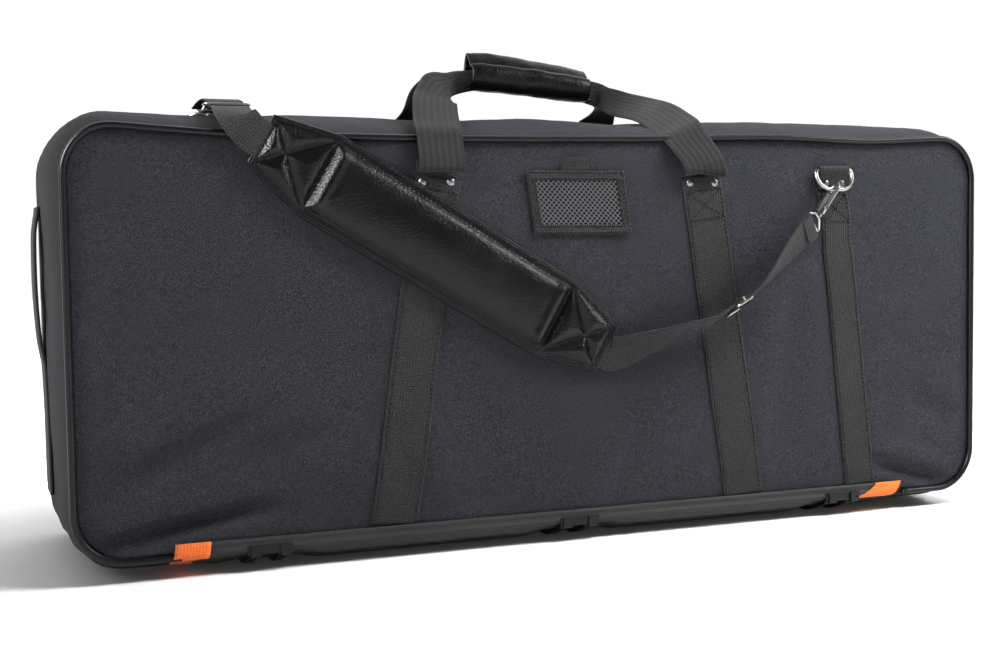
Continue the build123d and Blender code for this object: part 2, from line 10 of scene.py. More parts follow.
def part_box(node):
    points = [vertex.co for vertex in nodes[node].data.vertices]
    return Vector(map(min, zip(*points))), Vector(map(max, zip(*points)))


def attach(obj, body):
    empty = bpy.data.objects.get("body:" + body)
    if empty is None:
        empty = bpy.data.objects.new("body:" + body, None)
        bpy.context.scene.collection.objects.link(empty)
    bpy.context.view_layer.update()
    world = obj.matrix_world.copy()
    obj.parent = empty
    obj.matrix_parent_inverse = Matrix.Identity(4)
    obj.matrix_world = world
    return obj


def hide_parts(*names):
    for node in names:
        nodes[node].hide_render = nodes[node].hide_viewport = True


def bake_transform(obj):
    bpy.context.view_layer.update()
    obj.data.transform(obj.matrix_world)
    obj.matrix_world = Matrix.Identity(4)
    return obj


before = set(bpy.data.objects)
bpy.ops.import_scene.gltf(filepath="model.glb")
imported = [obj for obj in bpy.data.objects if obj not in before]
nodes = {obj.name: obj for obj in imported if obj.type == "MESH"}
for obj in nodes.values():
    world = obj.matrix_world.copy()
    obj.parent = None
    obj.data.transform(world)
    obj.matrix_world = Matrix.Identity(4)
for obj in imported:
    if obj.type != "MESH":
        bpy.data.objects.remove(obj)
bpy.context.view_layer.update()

# ------------------------------------------------------------------ sizes taken from the frame
face_lo, face_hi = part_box("front_panel")
SEAM = 0.0053  # from the front panel's edge to the piping line
HALF_W = face_hi.x + SEAM
LOW_Z = face_lo.z - SEAM
TOP_Z = face_hi.z + SEAM
MID_Z = (LOW_Z + TOP_Z) / 2
HALF_H = (TOP_Z - LOW_Z) / 2
CORNER = 0.050  # radius of the case's outline
FRONT_Y = face_lo.y
BACK_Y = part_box("lid_panel")[1].y
SHELL_Y0, SHELL_Y1 = (corner.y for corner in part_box("gusset"))
CASE_Y = (FRONT_Y + BACK_Y) / 2
BASE_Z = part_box("base_panel")[0].z
BASE_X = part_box("base_panel")[1].x
WEBBING = 0.0018  # thickness
FOOT = LOW_Z + 0.0145  # lower end of the straps on the face
STRIP_W = 0.035  # width of the orange strips
STRIP_SHIFT = -0.007  # the orange strips, from the ends of the base
PIPING_R = 0.0035
RUNNER_X = 0.339  # of the outer skid runners
ZIP_LIFT = 0.0051  # of the zip over the outline
LINING_CORNER = 0.025

CLOTH = 0.0014  # thickness of the case's cloth skin
FACE_INSET = 0.0022  # of the padded faces inside the piping line
FRONTWARD = np.array([0, -1.0, 0])
BACKWARD = np.array([0, 1.0, 0])

# How far the gusset swells past the piping line, by depth from the middle of the case.
BULGE_Y = np.array([-0.1458, -0.128, -0.110, -0.080, -0.050, -0.010, 0.030, 0.060, 0.090, 0.112, 0.135])
BULGE = np.array([0.0, 0.0085, 0.0135, 0.0172, 0.0188, 0.0192, 0.0188, 0.0165, 0.0115, 0.0045, 0.0040])
# How far the top front edge hangs below a straight line, along the case.
SAG_X = np.array([-0.50, -0.46, -0.37, -0.20, -0.08, 0.10, 0.245, 0.38, 0.47, 0.50])
SAG = np.array([0.0, 0.003, 0.0085, 0.0100, 0.0095, 0.0068, 0.0020, 0.0058, 0.001, 0.0])


def smooth_curve(xs, ys):
    """A smoothed version of a few-point curve, as a function."""
    fine = np.linspace(xs[0], xs[-1], 400)
    values = np.interp(fine, xs, ys)
    kernel = np.hanning(41)
    kernel /= kernel.sum()
    padded = np.pad(values, 20, mode="reflect", reflect_type="odd")
    values = np.convolve(padded, kernel, mode="valid")
    return lambda x: np.interp(x, fine, values)


swell_curve = smooth_curve(BULGE_Y, BULGE)
sag_curve = smooth_curve(SAG_X, SAG)


def ease(x, a, b):
    """0 before a, 1 after b, smooth between."""
    t = np.clip((np.asarray(x, float) - a) / (b - a), 0, 1)
    return t * t * (3 - 2 * t)


def noise_at(points, scale, seed=0.0):
    """Smooth noise from -1 to 1 at each point."""
    shift = Vector((seed, seed * 0.7, -seed))
    flat = np.asarray(points, float).reshape(-1, 3) * scale
    values = [noise.noise(Vector(p) + shift) for p in flat]
    return np.array(values).reshape(np.asarray(points).shape[:-1])


def at_depth(x, z, y=0.0):
    """Points at x and z, all at depth y or each at its own."""
    return np.stack([x, np.broadcast_to(y, np.shape(x)), z], axis=-1)


def swell(y):
    """How far the gusset stands outside the piping line at depth y."""
    return swell_curve(np.asarray(y) - CASE_Y)


def top_sag(x, z):
    """How far the front's upper half sags, growing towards its top edge."""
    return sag_curve(x) * ease(z, MID_Z + HALF_H * 0.3, TOP_Z)


def settle(points):
    """Sag the top front edge and rest the base flat, for points on the case's walls."""
    p = np.array(points, float)
    fade = 1 - ease(p[..., 1], FRONT_Y, FRONT_Y + 0.13)
    p[..., 2] -= top_sag(p[..., 0], p[..., 2]) * fade
    soft = 0.004
    low = np.clip((BASE_Z + soft - p[..., 2]) / soft, 0, None)
    rest = BASE_Z + soft - soft * np.tanh(low)
    p[..., 2] = np.where(low > 0, rest, p[..., 2])
    return p


# ------------------------------------------------------------------ mesh helpers
def piece(name, verts, faces, uvs=None, material=None, smooth=True):
    """A new mesh object. uvs holds one (u, v) pair per face corner."""
    mesh = bpy.data.meshes.new(name)
    mesh.from_pydata([tuple(v) for v in verts], [], [tuple(int(i) for i in f) for f in faces])
    if uvs is not None:
        layer = mesh.uv_layers.new(name="UVMap")
        layer.data.foreach_set("uv", np.asarray(uvs, np.float32).ravel())
    mesh.polygons.foreach_set("use_smooth", [smooth] * len(mesh.polygons))
    mesh.update()
    obj = bpy.data.objects.new(name, mesh)
    bpy.context.scene.collection.objects.link(obj)
    if material:
        mesh.materials.append(material)
    return obj


def grid_faces(n, m, wrap_n=False, wrap_m=False, offset=0, flip=False):
    """Quads of an n by m grid of points, with the (row, column) of each corner for its UV."""
    faces, corners = [], []
    for i in range(n if wrap_n else n - 1):
        for j in range(m if wrap_m else m - 1):
            quad = [(i, j), (i, j + 1), (i + 1, j + 1), (i + 1, j)]
            if flip:
                quad.reverse()
            faces.append([offset + (a % n) * m + (b % m) for a, b in quad])
            corners.append(quad)
    return faces, corners


def uv_of(corners, us, vs):
    """One UV per corner from a column of u and a row of v."""
    return [(us[b], vs[a]) for quad in corners for a, b in quad]


def grid_normals(grid):
    """Unit normals of a grid of points."""
    du = np.gradient(grid, axis=1)
    dv = np.gradient(grid, axis=0)
    normals = np.cross(du, dv)
    length = np.linalg.norm(normals, axis=-1, keepdims=True)
    return normals / np.maximum(length, 1e-12)


def sheet_piece(name, grid, us, vs, thick, material, outward):
    """A closed thin sheet: the grid and a copy of it, thick behind the side that outward points to."""
    n, m = grid.shape[:2]
    normals = grid_normals(grid)
    if np.mean(np.sum(normals * outward, axis=-1)) < 0:
        normals = -normals
        flip = True
    else:
        flip = False
    back = grid - normals * thick
    verts = np.concatenate([grid.reshape(-1, 3), back.reshape(-1, 3)])
    front_f, front_c = grid_faces(n, m, flip=flip)
    back_f, back_c = grid_faces(n, m, offset=n * m, flip=not flip)
    faces, corners = front_f + back_f, front_c + back_c
    ring = [(0, j) for j in range(m)] + [(i, m - 1) for i in range(1, n)]
    ring += [(n - 1, j) for j in range(m - 2, -1, -1)] + [(i, 0) for i in range(n - 2, 0, -1)]
    for k, (a, b) in enumerate(ring):
        c, d = ring[(k + 1) % len(ring)]
        quad = [a * m + b, n * m + a * m + b, n * m + c * m + d, c * m + d]
        labels = [(a, b), (a, b), (c, d), (c, d)]
        if flip:
            quad.reverse()
            labels.reverse()
        faces.append(quad)
        corners.append(labels)
    return piece(name, verts, faces, uv_of(corners, us, vs), material)


def run_along(points):
    """Length run along a row of points, from 0."""
    return np.concatenate([[0], np.cumsum(np.linalg.norm(np.diff(points, axis=0), axis=1))])


def join(name, objects):
    """Join objects into one piece."""
    bpy.ops.object.select_all(action="DESELECT")
    for o in objects:
        o.select_set(True)
    bpy.context.view_layer.objects.active = objects[0]
    bpy.ops.object.join()
    objects[0].name = name
    objects[0].data.name = name
    return objects[0]


def spline(points, step):
    """Points evenly spaced on a smooth curve through the given ones."""
    pts = np.asarray(points, float)
    ext = np.vstack([2 * pts[0] - pts[1], pts, 2 * pts[-1] - pts[-2]])
    samples = []
    for i in range(1, len(ext) - 2):
        p0, p1, p2, p3 = ext[i - 1 : i + 3]
        for t in np.linspace(0, 1, 24, endpoint=False):
            a = 2 * p1 + (p2 - p0) * t + (2 * p0 - 5 * p1 + 4 * p2 - p3) * t * t
            samples.append((a + (3 * p1 - p0 - 3 * p2 + p3) * t**3) / 2)
    samples.append(pts[-1])
    samples = np.array(samples)
    length = run_along(samples[:, :3])
    count = max(3, int(round(length[-1] / step)) + 1)
    even = np.linspace(0, length[-1], count)
    return np.stack([np.interp(even, length, samples[:, k]) for k in range(samples.shape[1])], axis=1), even


def unit(v):
    """Vectors at length 1."""
    v = np.asarray(v, float)
    return v / np.maximum(np.linalg.norm(v, axis=-1, keepdims=True), 1e-12)


def web_section(width, thick, count=9):
    """Flat webbing's section as (across, out) points, once round, with softened edges."""
    half, r = width / 2, thick / 2
    xs = np.linspace(-half + r, half - r, count)
    top = [(x, r) for x in xs]
    side = [(half - r + r * math.cos(a), r * math.sin(a)) for a in (0.9, 0.0, -0.9)]
    under = [(x, -r) for x in xs[::-1]]
    other = [(-half + r - r * math.cos(a), -r * math.sin(a)) for a in (0.9, 0.0, -0.9)]
    return np.array(top + side + under + other)


def webbing(name, stations, width, material, thick=WEBBING, step=0.004, drape=None):
    """Flat webbing through (x, y, z, across x, y, z[, width]) stations, laid by drape(points)."""
    data, run = spline(stations, step)
    centre = data[:, :3]
    ahead = unit(np.gradient(centre, axis=0))
    across = data[:, 3:6]
    across = unit(across - ahead * np.sum(across * ahead, axis=1, keepdims=True))
    normal = np.cross(across, ahead)
    widths = data[:, 6] if data.shape[1] > 6 else np.full(len(data), width)
    rings = []
    for middle, side, out, wide in zip(centre, across, normal, widths):
        section = web_section(wide, thick)
        rings.append(middle + np.outer(section[:, 0], side) + np.outer(section[:, 1], out))
    grid = drape(np.array(rings)) if drape else np.array(rings)
    n, m = grid.shape[:2]
    faces, corners = grid_faces(n, m, wrap_m=True)
    us = np.append(section[:, 0], section[0, 0])
    uvs = uv_of(corners, us, run)
    for row, order in ((0, -1), (n - 1, 1)):
        cap = list(range(m))[::order]
        faces.append([row * m + j for j in cap])
        uvs += [(us[j], run[row]) for j in cap]
    return piece(name, grid.reshape(-1, 3), faces, uvs, material)


def tube(name, path, radius, material, sides=12, closed=False, wobble=0.0):
    """A round tube along a path of points."""
    pts = np.asarray(path, float)
    n = len(pts)
    ahead = np.roll(pts, -1, axis=0) - np.roll(pts, 1, axis=0) if closed else np.gradient(pts, axis=0)
    ahead = unit(ahead)
    side = unit(np.cross(ahead, [0.0, 1.0, 0.0]))
    up = np.cross(side, ahead)
    angle = np.linspace(0, 2 * math.pi, sides, endpoint=False)
    r = radius * (1 + wobble * noise_at(pts, 60.0, 3.1))
    grid = pts[:, None, :] + side[:, None, :] * (np.cos(angle)[None, :, None] * r[:, None, None])
    grid = grid + up[:, None, :] * (np.sin(angle)[None, :, None] * r[:, None, None])
    faces, corners = grid_faces(n, sides, wrap_n=closed, wrap_m=True)
    length = run_along(pts)
    length = np.append(length, length[-1] + 0.005)
    uvs = uv_of(corners, np.append(angle, 2 * math.pi) * radius, length)
    if not closed:
        faces.append(list(range(sides))[::-1])
        faces.append([(n - 1) * sides + j for j in range(sides)])
        uvs += [(0, 0)] * (2 * sides)
    return piece(name, grid.reshape(-1, 3), faces, uvs, material)


def stitches(name, runs, length, gap, radius):
    """Raised thread stitches. Each run is (points, outward vectors)."""
    verts, faces = [], []
    ring = [(-0.5, 0.25), (-0.36, 0.85), (0.0, 1.0), (0.36, 0.85), (0.5, 0.25)]
    sides = 5
    for points, outward in runs:
        pts = np.asarray(points, float)
        outs = np.broadcast_to(np.asarray(outward, float), pts.shape)
        span = run_along(pts)
        count = int(span[-1] / (length + gap))

        def at(rows, place):
            return np.array([np.interp(place, span, rows[:, c]) for c in range(3)])

        for k in range(count):
            mid = (k + 0.5) * span[-1] / count
            p, o = at(pts, mid), unit(at(outs, mid))
            a = unit(at(pts, mid + 0.0008) - p)
            s = np.cross(a, o)
            first = len(verts)
            for along, fat in ring:
                for j in range(sides):
                    t = 2 * math.pi * j / sides
                    offset = a * along * length + (s * math.cos(t) + o * math.sin(t)) * radius * fat
                    verts.append(p + offset + o * radius * (0.5 if abs(along) < 0.4 else 0.0))
            for i in range(len(ring) - 1):
                for j in range(sides):
                    b = first + i * sides
                    k1 = (j + 1) % sides
                    faces.append([b + j, b + k1, b + sides + k1, b + sides + j])
            faces.append([first + j for j in range(sides)][::-1])
            faces.append([first + (len(ring) - 1) * sides + j for j in range(sides)])
    return piece(name, verts, faces, None, THREAD)


def place(obj, body, slot, *stands_for, fill=None):
    """Say which body a piece rides on and the CAD nodes it stands for; slot is not used."""
    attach(obj, body)
    if stands_for:
        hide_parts(*stands_for)


# ------------------------------------------------------------------ materials
def new_material(name, **inputs):
    """A new material, its node tree and its shader with the given inputs set."""
    mat = bpy.data.materials.new(name)
    mat.use_nodes = True
    shader = mat.node_tree.nodes["Principled BSDF"]
    for key, value in inputs.items():
        shader.inputs[key.replace("_", " ")].default_value = value
    return mat, mat.node_tree, shader


def add(tree, kind, **settings):
    """A node with its settings; values keyed by input name go on its sockets."""
    node = tree.nodes.new(kind)
    for key, value in settings.items():
        if hasattr(node, key):
            setattr(node, key, value)
        else:
            node.inputs[key.replace("_", " ")].default_value = value
    return node


def math_node(tree, operation, *values):
    """A maths node of sockets or numbers."""
    node = add(tree, "ShaderNodeMath", operation=operation)
    for i, value in enumerate(values):
        if isinstance(value, (int, float)):
            node.inputs[i].default_value = value
        else:
            tree.links.new(value, node.inputs[i])
    return node.outputs[0]


def times(tree, value, gain):
    """The product of two sockets or numbers."""
    return math_node(tree, "MULTIPLY", value, gain)


def tint(tree, shader, factor, dark, light):
    """Base colour between two colours by a factor."""
    mix = add(tree, "ShaderNodeMix", data_type="RGBA")
    mix.inputs["A"].default_value = (*dark, 1)
    mix.inputs["B"].default_value = (*light, 1)
    tree.links.new(factor, mix.inputs["Factor"])
    tree.links.new(mix.outputs["Result"], shader.inputs["Base Color"])


def bump(tree, shader, height, strength, distance):
    """Relief from a height."""
    node = add(tree, "ShaderNodeBump", Strength=strength, Distance=distance)
    tree.links.new(height, node.inputs["Height"])
    tree.links.new(node.outputs["Normal"], shader.inputs["Normal"])


def uv_axes(tree):
    """Texture coordinates and the two lengths of the UV map."""
    coords = tree.nodes.new("ShaderNodeTexCoord")
    split = tree.nodes.new("ShaderNodeSeparateXYZ")
    tree.links.new(coords.outputs["UV"], split.inputs[0])
    return coords, split.outputs[0], split.outputs[1]


def cloud(tree, coords, scale, detail=3.0):
    """Smooth noise from 0 to 1."""
    tex = add(tree, "ShaderNodeTexNoise", Scale=scale, Detail=detail)
    tree.links.new(coords.outputs["Object"], tex.inputs["Vector"])
    return tex.outputs["Fac"]


def wave(tree, axis, pitch, phase=None):
    """A sine of a length axis with the given pitch."""
    turn = times(tree, axis, 2 * math.pi / pitch)
    return math_node(tree, "SINE", turn if phase is None else total(tree, turn, phase))


def contrast(tree, value, gain):
    """A 0 to 1 value pushed away from its middle."""
    return times(tree, math_node(tree, "SUBTRACT", value, 0.5), gain)


def total(tree, *values):
    """The sum of several sockets or numbers."""
    result = values[0]
    for value in values[1:]:
        result = math_node(tree, "ADD", result, value)
    return result


def woven(name, dark, light, pitch, rough=0.9, sheen=0.0, speckle=1.3):
    """Plain weave cloth: warp and weft cross, with slubs and slow changes of tone."""
    mat, tree, shader = new_material(
        name, Roughness=rough, Sheen_Weight=sheen, Sheen_Roughness=0.5, Specular_IOR_Level=0.2
    )
    coords, u, v = uv_axes(tree)
    slub = cloud(tree, coords, 620.0, 1.0)
    cross = times(tree, wave(tree, u, pitch), wave(tree, v, pitch))
    patch = contrast(tree, cloud(tree, coords, 6.0, 1.5), 0.30)
    factor = total(tree, contrast(tree, slub, speckle), times(tree, cross, 0.50), patch, 0.32)
    tint(tree, shader, factor, dark, light)
    bump(tree, shader, total(tree, times(tree, cross, 0.5), slub), 0.6, 0.0004)
    return mat


def webbed(name, dark, light, rib=0.0025):
    """Heavy webbing: zigzag ribs across it, fine lines along it and fuzz."""
    mat, tree, shader = new_material(name, Roughness=0.72, Sheen_Weight=0.05, Specular_IOR_Level=0.25)
    coords, u, v = uv_axes(tree)
    ribs = wave(tree, v, rib, times(tree, wave(tree, u, 0.0062), 1.5))
    lines = wave(tree, u, 0.0031)
    fuzz = cloud(tree, coords, 1000.0, 2.0)
    patch = contrast(tree, cloud(tree, coords, 25.0, 2.0), 0.3)
    tone = total(tree, times(tree, ribs, 0.30), times(tree, lines, 0.22), contrast(tree, fuzz, 1.6))
    tint(tree, shader, total(tree, tone, patch, 0.36), dark, light)
    bump(tree, shader, total(tree, times(tree, ribs, 0.45), times(tree, lines, 0.25), fuzz), 0.8, 0.0005)
    return mat


def pebbled(name, dark, light, rough):
    """Leatherette: pebble grain with gloss that varies a little."""
    mat, tree, shader = new_material(name, Specular_IOR_Level=0.20)
    pebble = 600.0
    coords = tree.nodes.new("ShaderNodeTexCoord")
    cells = add(tree, "ShaderNodeTexVoronoi", feature="SMOOTH_F1", Scale=pebble)
    tree.links.new(coords.outputs["Object"], cells.inputs["Vector"])
    grain = times(tree, cloud(tree, coords, pebble * 0.8, 2.0), 0.3)
    patch = cloud(tree, coords, 30.0, 3.0)
    tint(tree, shader, patch, dark, light)
    bump(tree, shader, total(tree, cells.outputs["Distance"], grain), 0.7, 0.00055)
    tree.links.new(total(tree, times(tree, patch, 0.22), rough - 0.11), shader.inputs["Roughness"])
    return mat


def plastic(name, dark, light, rough=0.45, grain=500.0, strength=0.2, metallic=0.0):
    """Moulded plastic, coated cloth or metal: fine grain and slow changes of tone and gloss."""
    gloss_level = 0.5 if metallic else 0.22
    mat, tree, shader = new_material(name, Metallic=metallic, Specular_IOR_Level=gloss_level)
    coords = tree.nodes.new("ShaderNodeTexCoord")
    patch = cloud(tree, coords, 14.0, 4.0)
    tint(tree, shader, patch, dark, light)
    bump(tree, shader, cloud(tree, coords, grain, 3.0), strength, 0.0002)
    tree.links.new(total(tree, times(tree, patch, 0.16), rough - 0.08), shader.inputs["Roughness"])
    return mat


FABRIC = woven("case_cloth", (0.0044, 0.0046, 0.0065), (0.0435, 0.0438, 0.0560), 0.0025, speckle=1.5)
COATED = plastic(
    "coated_base", (0.0145, 0.0145, 0.0143), (0.0235, 0.0235, 0.0231),
    rough=0.6, grain=900.0, strength=0.25,
)
WEB = webbed("black_webbing", (0.0014, 0.0014, 0.0016), (0.027, 0.027, 0.0282))
PIPE = plastic(
    "piping_cover", (0.0030, 0.0030, 0.0036), (0.0065, 0.0065, 0.0075),
    rough=0.36, grain=1200.0, strength=0.25,
)
LEATHER = pebbled("pad_leatherette", (0.0016, 0.0017, 0.0022), (0.0034, 0.0035, 0.0042), rough=0.34)
WEB_FINE = webbed("riser_webbing", (0.0014, 0.0014, 0.0016), (0.024, 0.024, 0.0252), rib=0.0016)
ORANGE = webbed("orange_webbing", (0.70, 0.11, 0.012), (0.90, 0.21, 0.035), rib=0.0018)
THREAD = plastic("black_thread", (0.002, 0.002, 0.002), (0.006, 0.006, 0.006), rough=0.5, grain=2500.0)
NICKEL = plastic(
    "nickel", (0.30, 0.29, 0.275), (0.46, 0.44, 0.42),
    rough=0.32, grain=300.0, strength=0.05, metallic=1.0,
)
SATIN = plastic(
    "rivet_metal", (0.14, 0.14, 0.145), (0.30, 0.30, 0.31),
    rough=0.36, grain=400.0, strength=0.1, metallic=1.0,
)
RUNNER = plastic(
    "runner_plastic", (0.0035, 0.0035, 0.0038), (0.008, 0.008, 0.0085),
    rough=0.4, grain=700.0, strength=0.3,
)
COIL = plastic("zip_coil", (0.008, 0.008, 0.009), (0.020, 0.020, 0.021), rough=0.4, grain=900.0)
TAPE = woven("zip_tape", (0.006, 0.006, 0.007), (0.020, 0.020, 0.021), 0.0011, sheen=0.1)
LINING = woven("lining_cloth", (0.045, 0.045, 0.048), (0.100, 0.100, 0.105), 0.0022, rough=0.95, sheen=0.2)
MESH = plastic("mesh_thread", (0.065, 0.065, 0.071), (0.110, 0.110, 0.120), rough=0.5, grain=1500.0)
CARD = plastic("card", (0.004, 0.004, 0.005), (0.008, 0.008, 0.009), rough=0.6, grain=700.0)
BACKING = woven("pad_backing", (0.010, 0.010, 0.011), (0.028, 0.028, 0.030), 0.0014)


# ------------------------------------------------------------------ the case's outline
def outline(start_x, end_x, step=0.010):
    """Points, outward normals and run length of the piping line.

    It starts on the lower edge at start_x, goes left, up, over the top and down to end_x.
    """
    pts, nrm = [], []
    flat_x, flat_z = HALF_W - CORNER, HALF_H - CORNER

    def line(x0, z0, x1, z1, nx, nz):
        count = max(2, int(math.hypot(x1 - x0, z1 - z0) / step))
        for t in np.linspace(0, 1, count, endpoint=False):
            pts.append((x0 + (x1 - x0) * t, z0 + (z1 - z0) * t))
            nrm.append((nx, nz))

    def arc(cx, cz, a0, a1):
        for a in np.radians(np.linspace(a0, a1, 14, endpoint=False)):
            pts.append((cx + CORNER * math.cos(a), cz + CORNER * math.sin(a)))
            nrm.append((math.cos(a), math.sin(a)))

    line(start_x, LOW_Z, -flat_x, LOW_Z, 0, -1)
    arc(-flat_x, MID_Z - flat_z, 270, 180)
    line(-HALF_W, MID_Z - flat_z, -HALF_W, MID_Z + flat_z, -1, 0)
    arc(-flat_x, MID_Z + flat_z, 180, 90)
    line(-flat_x, TOP_Z, flat_x, TOP_Z, 0, 1)
    arc(flat_x, MID_Z + flat_z, 90, 0)
    line(HALF_W, MID_Z + flat_z, HALF_W, MID_Z - flat_z, 1, 0)
    arc(flat_x, MID_Z - flat_z, 0, -90)
    line(flat_x, LOW_Z, end_x, LOW_Z, 0, -1)
    pts.append((end_x, LOW_Z))
    nrm.append((0, -1))
    pts, nrm = np.array(pts), np.array(nrm, float)
    return pts, nrm, run_along(pts)


def flat_normals(nrm):
    """Outline normals (x, z) as vectors in the row frame."""
    return at_depth(nrm[:, 0], nrm[:, 1])


def wall_grid(pts, nrm, ys, grow):
    """A grid of wall points: rows by depth, columns along the outline, grow[row] outwards."""
    grid = np.zeros((len(ys), len(pts), 3))
    for i, (y, out) in enumerate(zip(ys, grow)):
        grid[i, :, 0] = pts[:, 0] + nrm[:, 0] * out
        grid[i, :, 1] = y
        grid[i, :, 2] = pts[:, 1] + nrm[:, 1] * out
    return grid


def side_slack(z):
    """How much of the full swell the ends of the gusset keep: less towards the base."""
    return 0.42 + 0.26 * ease(z, LOW_Z + 0.06, TOP_Z - 0.06)


def swell_gain(pts, nrm):
    """The gusset stands proud between the straps on top and lies flatter at the ends."""
    x, z = pts[:, 0], pts[:, 1]
    top = np.zeros(len(x))
    for middle, half, gain in ((-0.245, 0.085, 0.16), (0.0, 0.085, 0.20), (0.315, 0.150, 0.20)):
        top = top + gain * np.clip(1 - ((x - middle) / half) ** 2, 0, 1)
    up = np.clip(nrm[:, 1], 0, 1) ** 2
    side = np.abs(nrm[:, 0]) ** 1.5
    return 1 + top * up + (side_slack(z) - 1) * side


def wall_creases(grid, run, nrm):
    """Soft dents and folds of the gusset, mostly inward, strongest near the corners."""
    depth = grid[..., 1] - CASE_Y
    middle = np.clip(1 - (np.abs(depth) / 0.14) ** 4, 0, 1)
    slow = noise_at(grid, 7.0, 1.7) * 0.0022
    quick = noise_at(grid * np.array([1.0, 0.45, 1.0]), 34.0, 5.2) * 0.0011
    corner = np.exp(-((np.abs(nrm[:, 0] * nrm[:, 1]) - 0.5) ** 2) / 0.08)[None, :]
    pleat = np.sin(run[None, :] * 230 + depth * 60) * 0.0009 * corner
    return np.minimum((slow + quick + pleat) * middle, 0.0012)


# Folds of the front cloth: from x, z to x, z, half width, depth and height of the ridge above.
FACE_FOLDS = (
    (-0.510, 0.030, -0.330, 0.072, 0.0095, 0.0100, 0.0060),
    (-0.480, 0.052, -0.300, 0.062, 0.0080, 0.0040, 0.0030),
    (-0.500, 0.085, -0.330, 0.165, 0.015, 0.0075, 0.0045),
    (-0.400, 0.110, -0.250, 0.140, 0.014, 0.0026, 0.0018),
    (0.380, 0.062, 0.490, 0.030, 0.0085, 0.0100, 0.0055),
    (0.430, 0.140, 0.505, 0.100, 0.016, 0.0036, 0.0018),
    (-0.300, 0.150, -0.215, 0.240, 0.022, 0.0022, 0.0012),
    (0.255, 0.060, 0.285, 0.330, 0.020, 0.0030, 0.0014),
    (0.385, 0.240, 0.480, 0.300, 0.018, 0.0024, 0.0014),
    (0.300, 0.300, 0.400, 0.345, 0.014, 0.0022, 0.0012),
    (-0.120, 0.050, -0.160, 0.300, 0.020, 0.0024, 0.0010),
    (-0.130, 0.036, -0.080, 0.090, 0.012, 0.0030, 0.0016),
    (0.040, 0.034, 0.080, 0.120, 0.014, 0.0024, 0.0012),
    (-0.470, 0.330, -0.505, 0.200, 0.014, 0.0030, 0.0014),
)


def face_pillow(x, z):
    """1 over the middle of a padded face, 0 at its outline."""
    u, v = x / HALF_W, (z - MID_Z) / HALF_H
    return np.clip(1 - np.abs(u) ** 10, 0, 1) * np.clip(1 - np.abs(v) ** 6, 0, 1)


def face_depth(x, z):
    """Depth (y) of the front face: tucked in at the piping, with the folds of a soft panel."""
    x, z = np.asarray(x, float), np.asarray(z, float)
    pillow = face_pillow(x, z)
    y = FRONT_Y + 0.0042 * (1 - pillow)
    y = y + 0.0012 * pillow
    for x0, z0, x1, z1, wide, deep, ridge in FACE_FOLDS:
        dx, dz = x1 - x0, z1 - z0
        length = np.hypot(dx, dz)
        t = ((x - x0) * dx + (z - z0) * dz) / length**2
        side = ((x - x0) * -dz + (z - z0) * dx) / length
        taper = np.exp(-(((t - 0.5) / 0.42) ** 4))
        groove = np.exp(-((side / wide) ** 2))
        raised = np.exp(-(((side - 1.9 * wide) / (1.3 * wide)) ** 2))
        y = y + taper * (deep * groove - ridge * raised)
    flat = at_depth(x, z)
    y = y + noise_at(flat, 6.0, 2.4) * 0.0022 + noise_at(flat, 19.0, 8.1) * 0.0009
    return np.maximum(y, FRONT_Y - 0.0010)


def drop_on_face(points, height=0.0):
    """Points moved onto the front face, height above it."""
    p = np.array(points, float)
    p[..., 1] = face_depth(p[..., 0], p[..., 2]) - height
    return p


# ------------------------------------------------------------------ shell
def rounded_grid(inset, step):
    """A grid over the case's rounded outline: rows up, columns along, squeezed into the corners."""
    half_w, half_h, r = HALF_W - inset, HALF_H - inset, CORNER - inset
    xs = np.linspace(-half_w, half_w, int(2 * half_w / step))
    zs = np.linspace(-half_h, half_h, int(2 * half_h / step))
    gx, gz = np.meshgrid(xs, zs)
    ax, az = np.abs(gx) - (half_w - r), np.abs(gz) - (half_h - r)
    in_corner = (ax > 0) & (az > 0)
    m = np.maximum(ax, az)
    d = np.maximum(np.hypot(ax, az), 1e-9)
    nx = np.where(in_corner, (half_w - r) + ax * m / d, np.abs(gx))
    nz = np.where(in_corner, (half_h - r) + az * m / d, np.abs(gz))
    return np.sign(gx) * nx, np.sign(gz) * nz + MID_Z, xs, zs


def front_face():
    """The padded front panel with its folds, tucked under the piping."""
    x, z, xs, zs = rounded_grid(FACE_INSET, 0.0048)
    z = z - top_sag(x, z)
    grid = at_depth(x, z, face_depth(x, z))
    obj = sheet_piece("front_face", grid, xs, zs, CLOTH, FABRIC, FRONTWARD)
    place(obj, "case", "shell_fabric", "front_panel", "front_foam", fill=0.8)


def gusset_shell():
    """The swollen gusset over the top and the ends, with dents and corner folds."""
    pts, nrm, run = outline(-BASE_X, BASE_X)
    ys = np.linspace(SHELL_Y0 - 0.0005, SHELL_Y1 - 0.006, 62)
    grid = wall_grid(pts, nrm, ys, swell(ys))
    out = flat_normals(nrm)
    slack = (swell(ys) * (1 - ease(ys, SHELL_Y1 - 0.05, SHELL_Y1 - 0.01)))[:, None]
    grid = grid + out[None] * (slack * (swell_gain(pts, nrm) - 1)[None])[..., None]
    grid = grid + out[None] * wall_creases(grid, run, nrm)[..., None]
    grid = settle(grid)
    obj = sheet_piece("gusset_shell", grid, run, ys, CLOTH, FABRIC, out[None])
    foams = ("top_foam", "left_foam", "right_foam", "corner_bolsters")
    place(obj, "case", "shell_fabric", "gusset", *foams, fill=0.8)


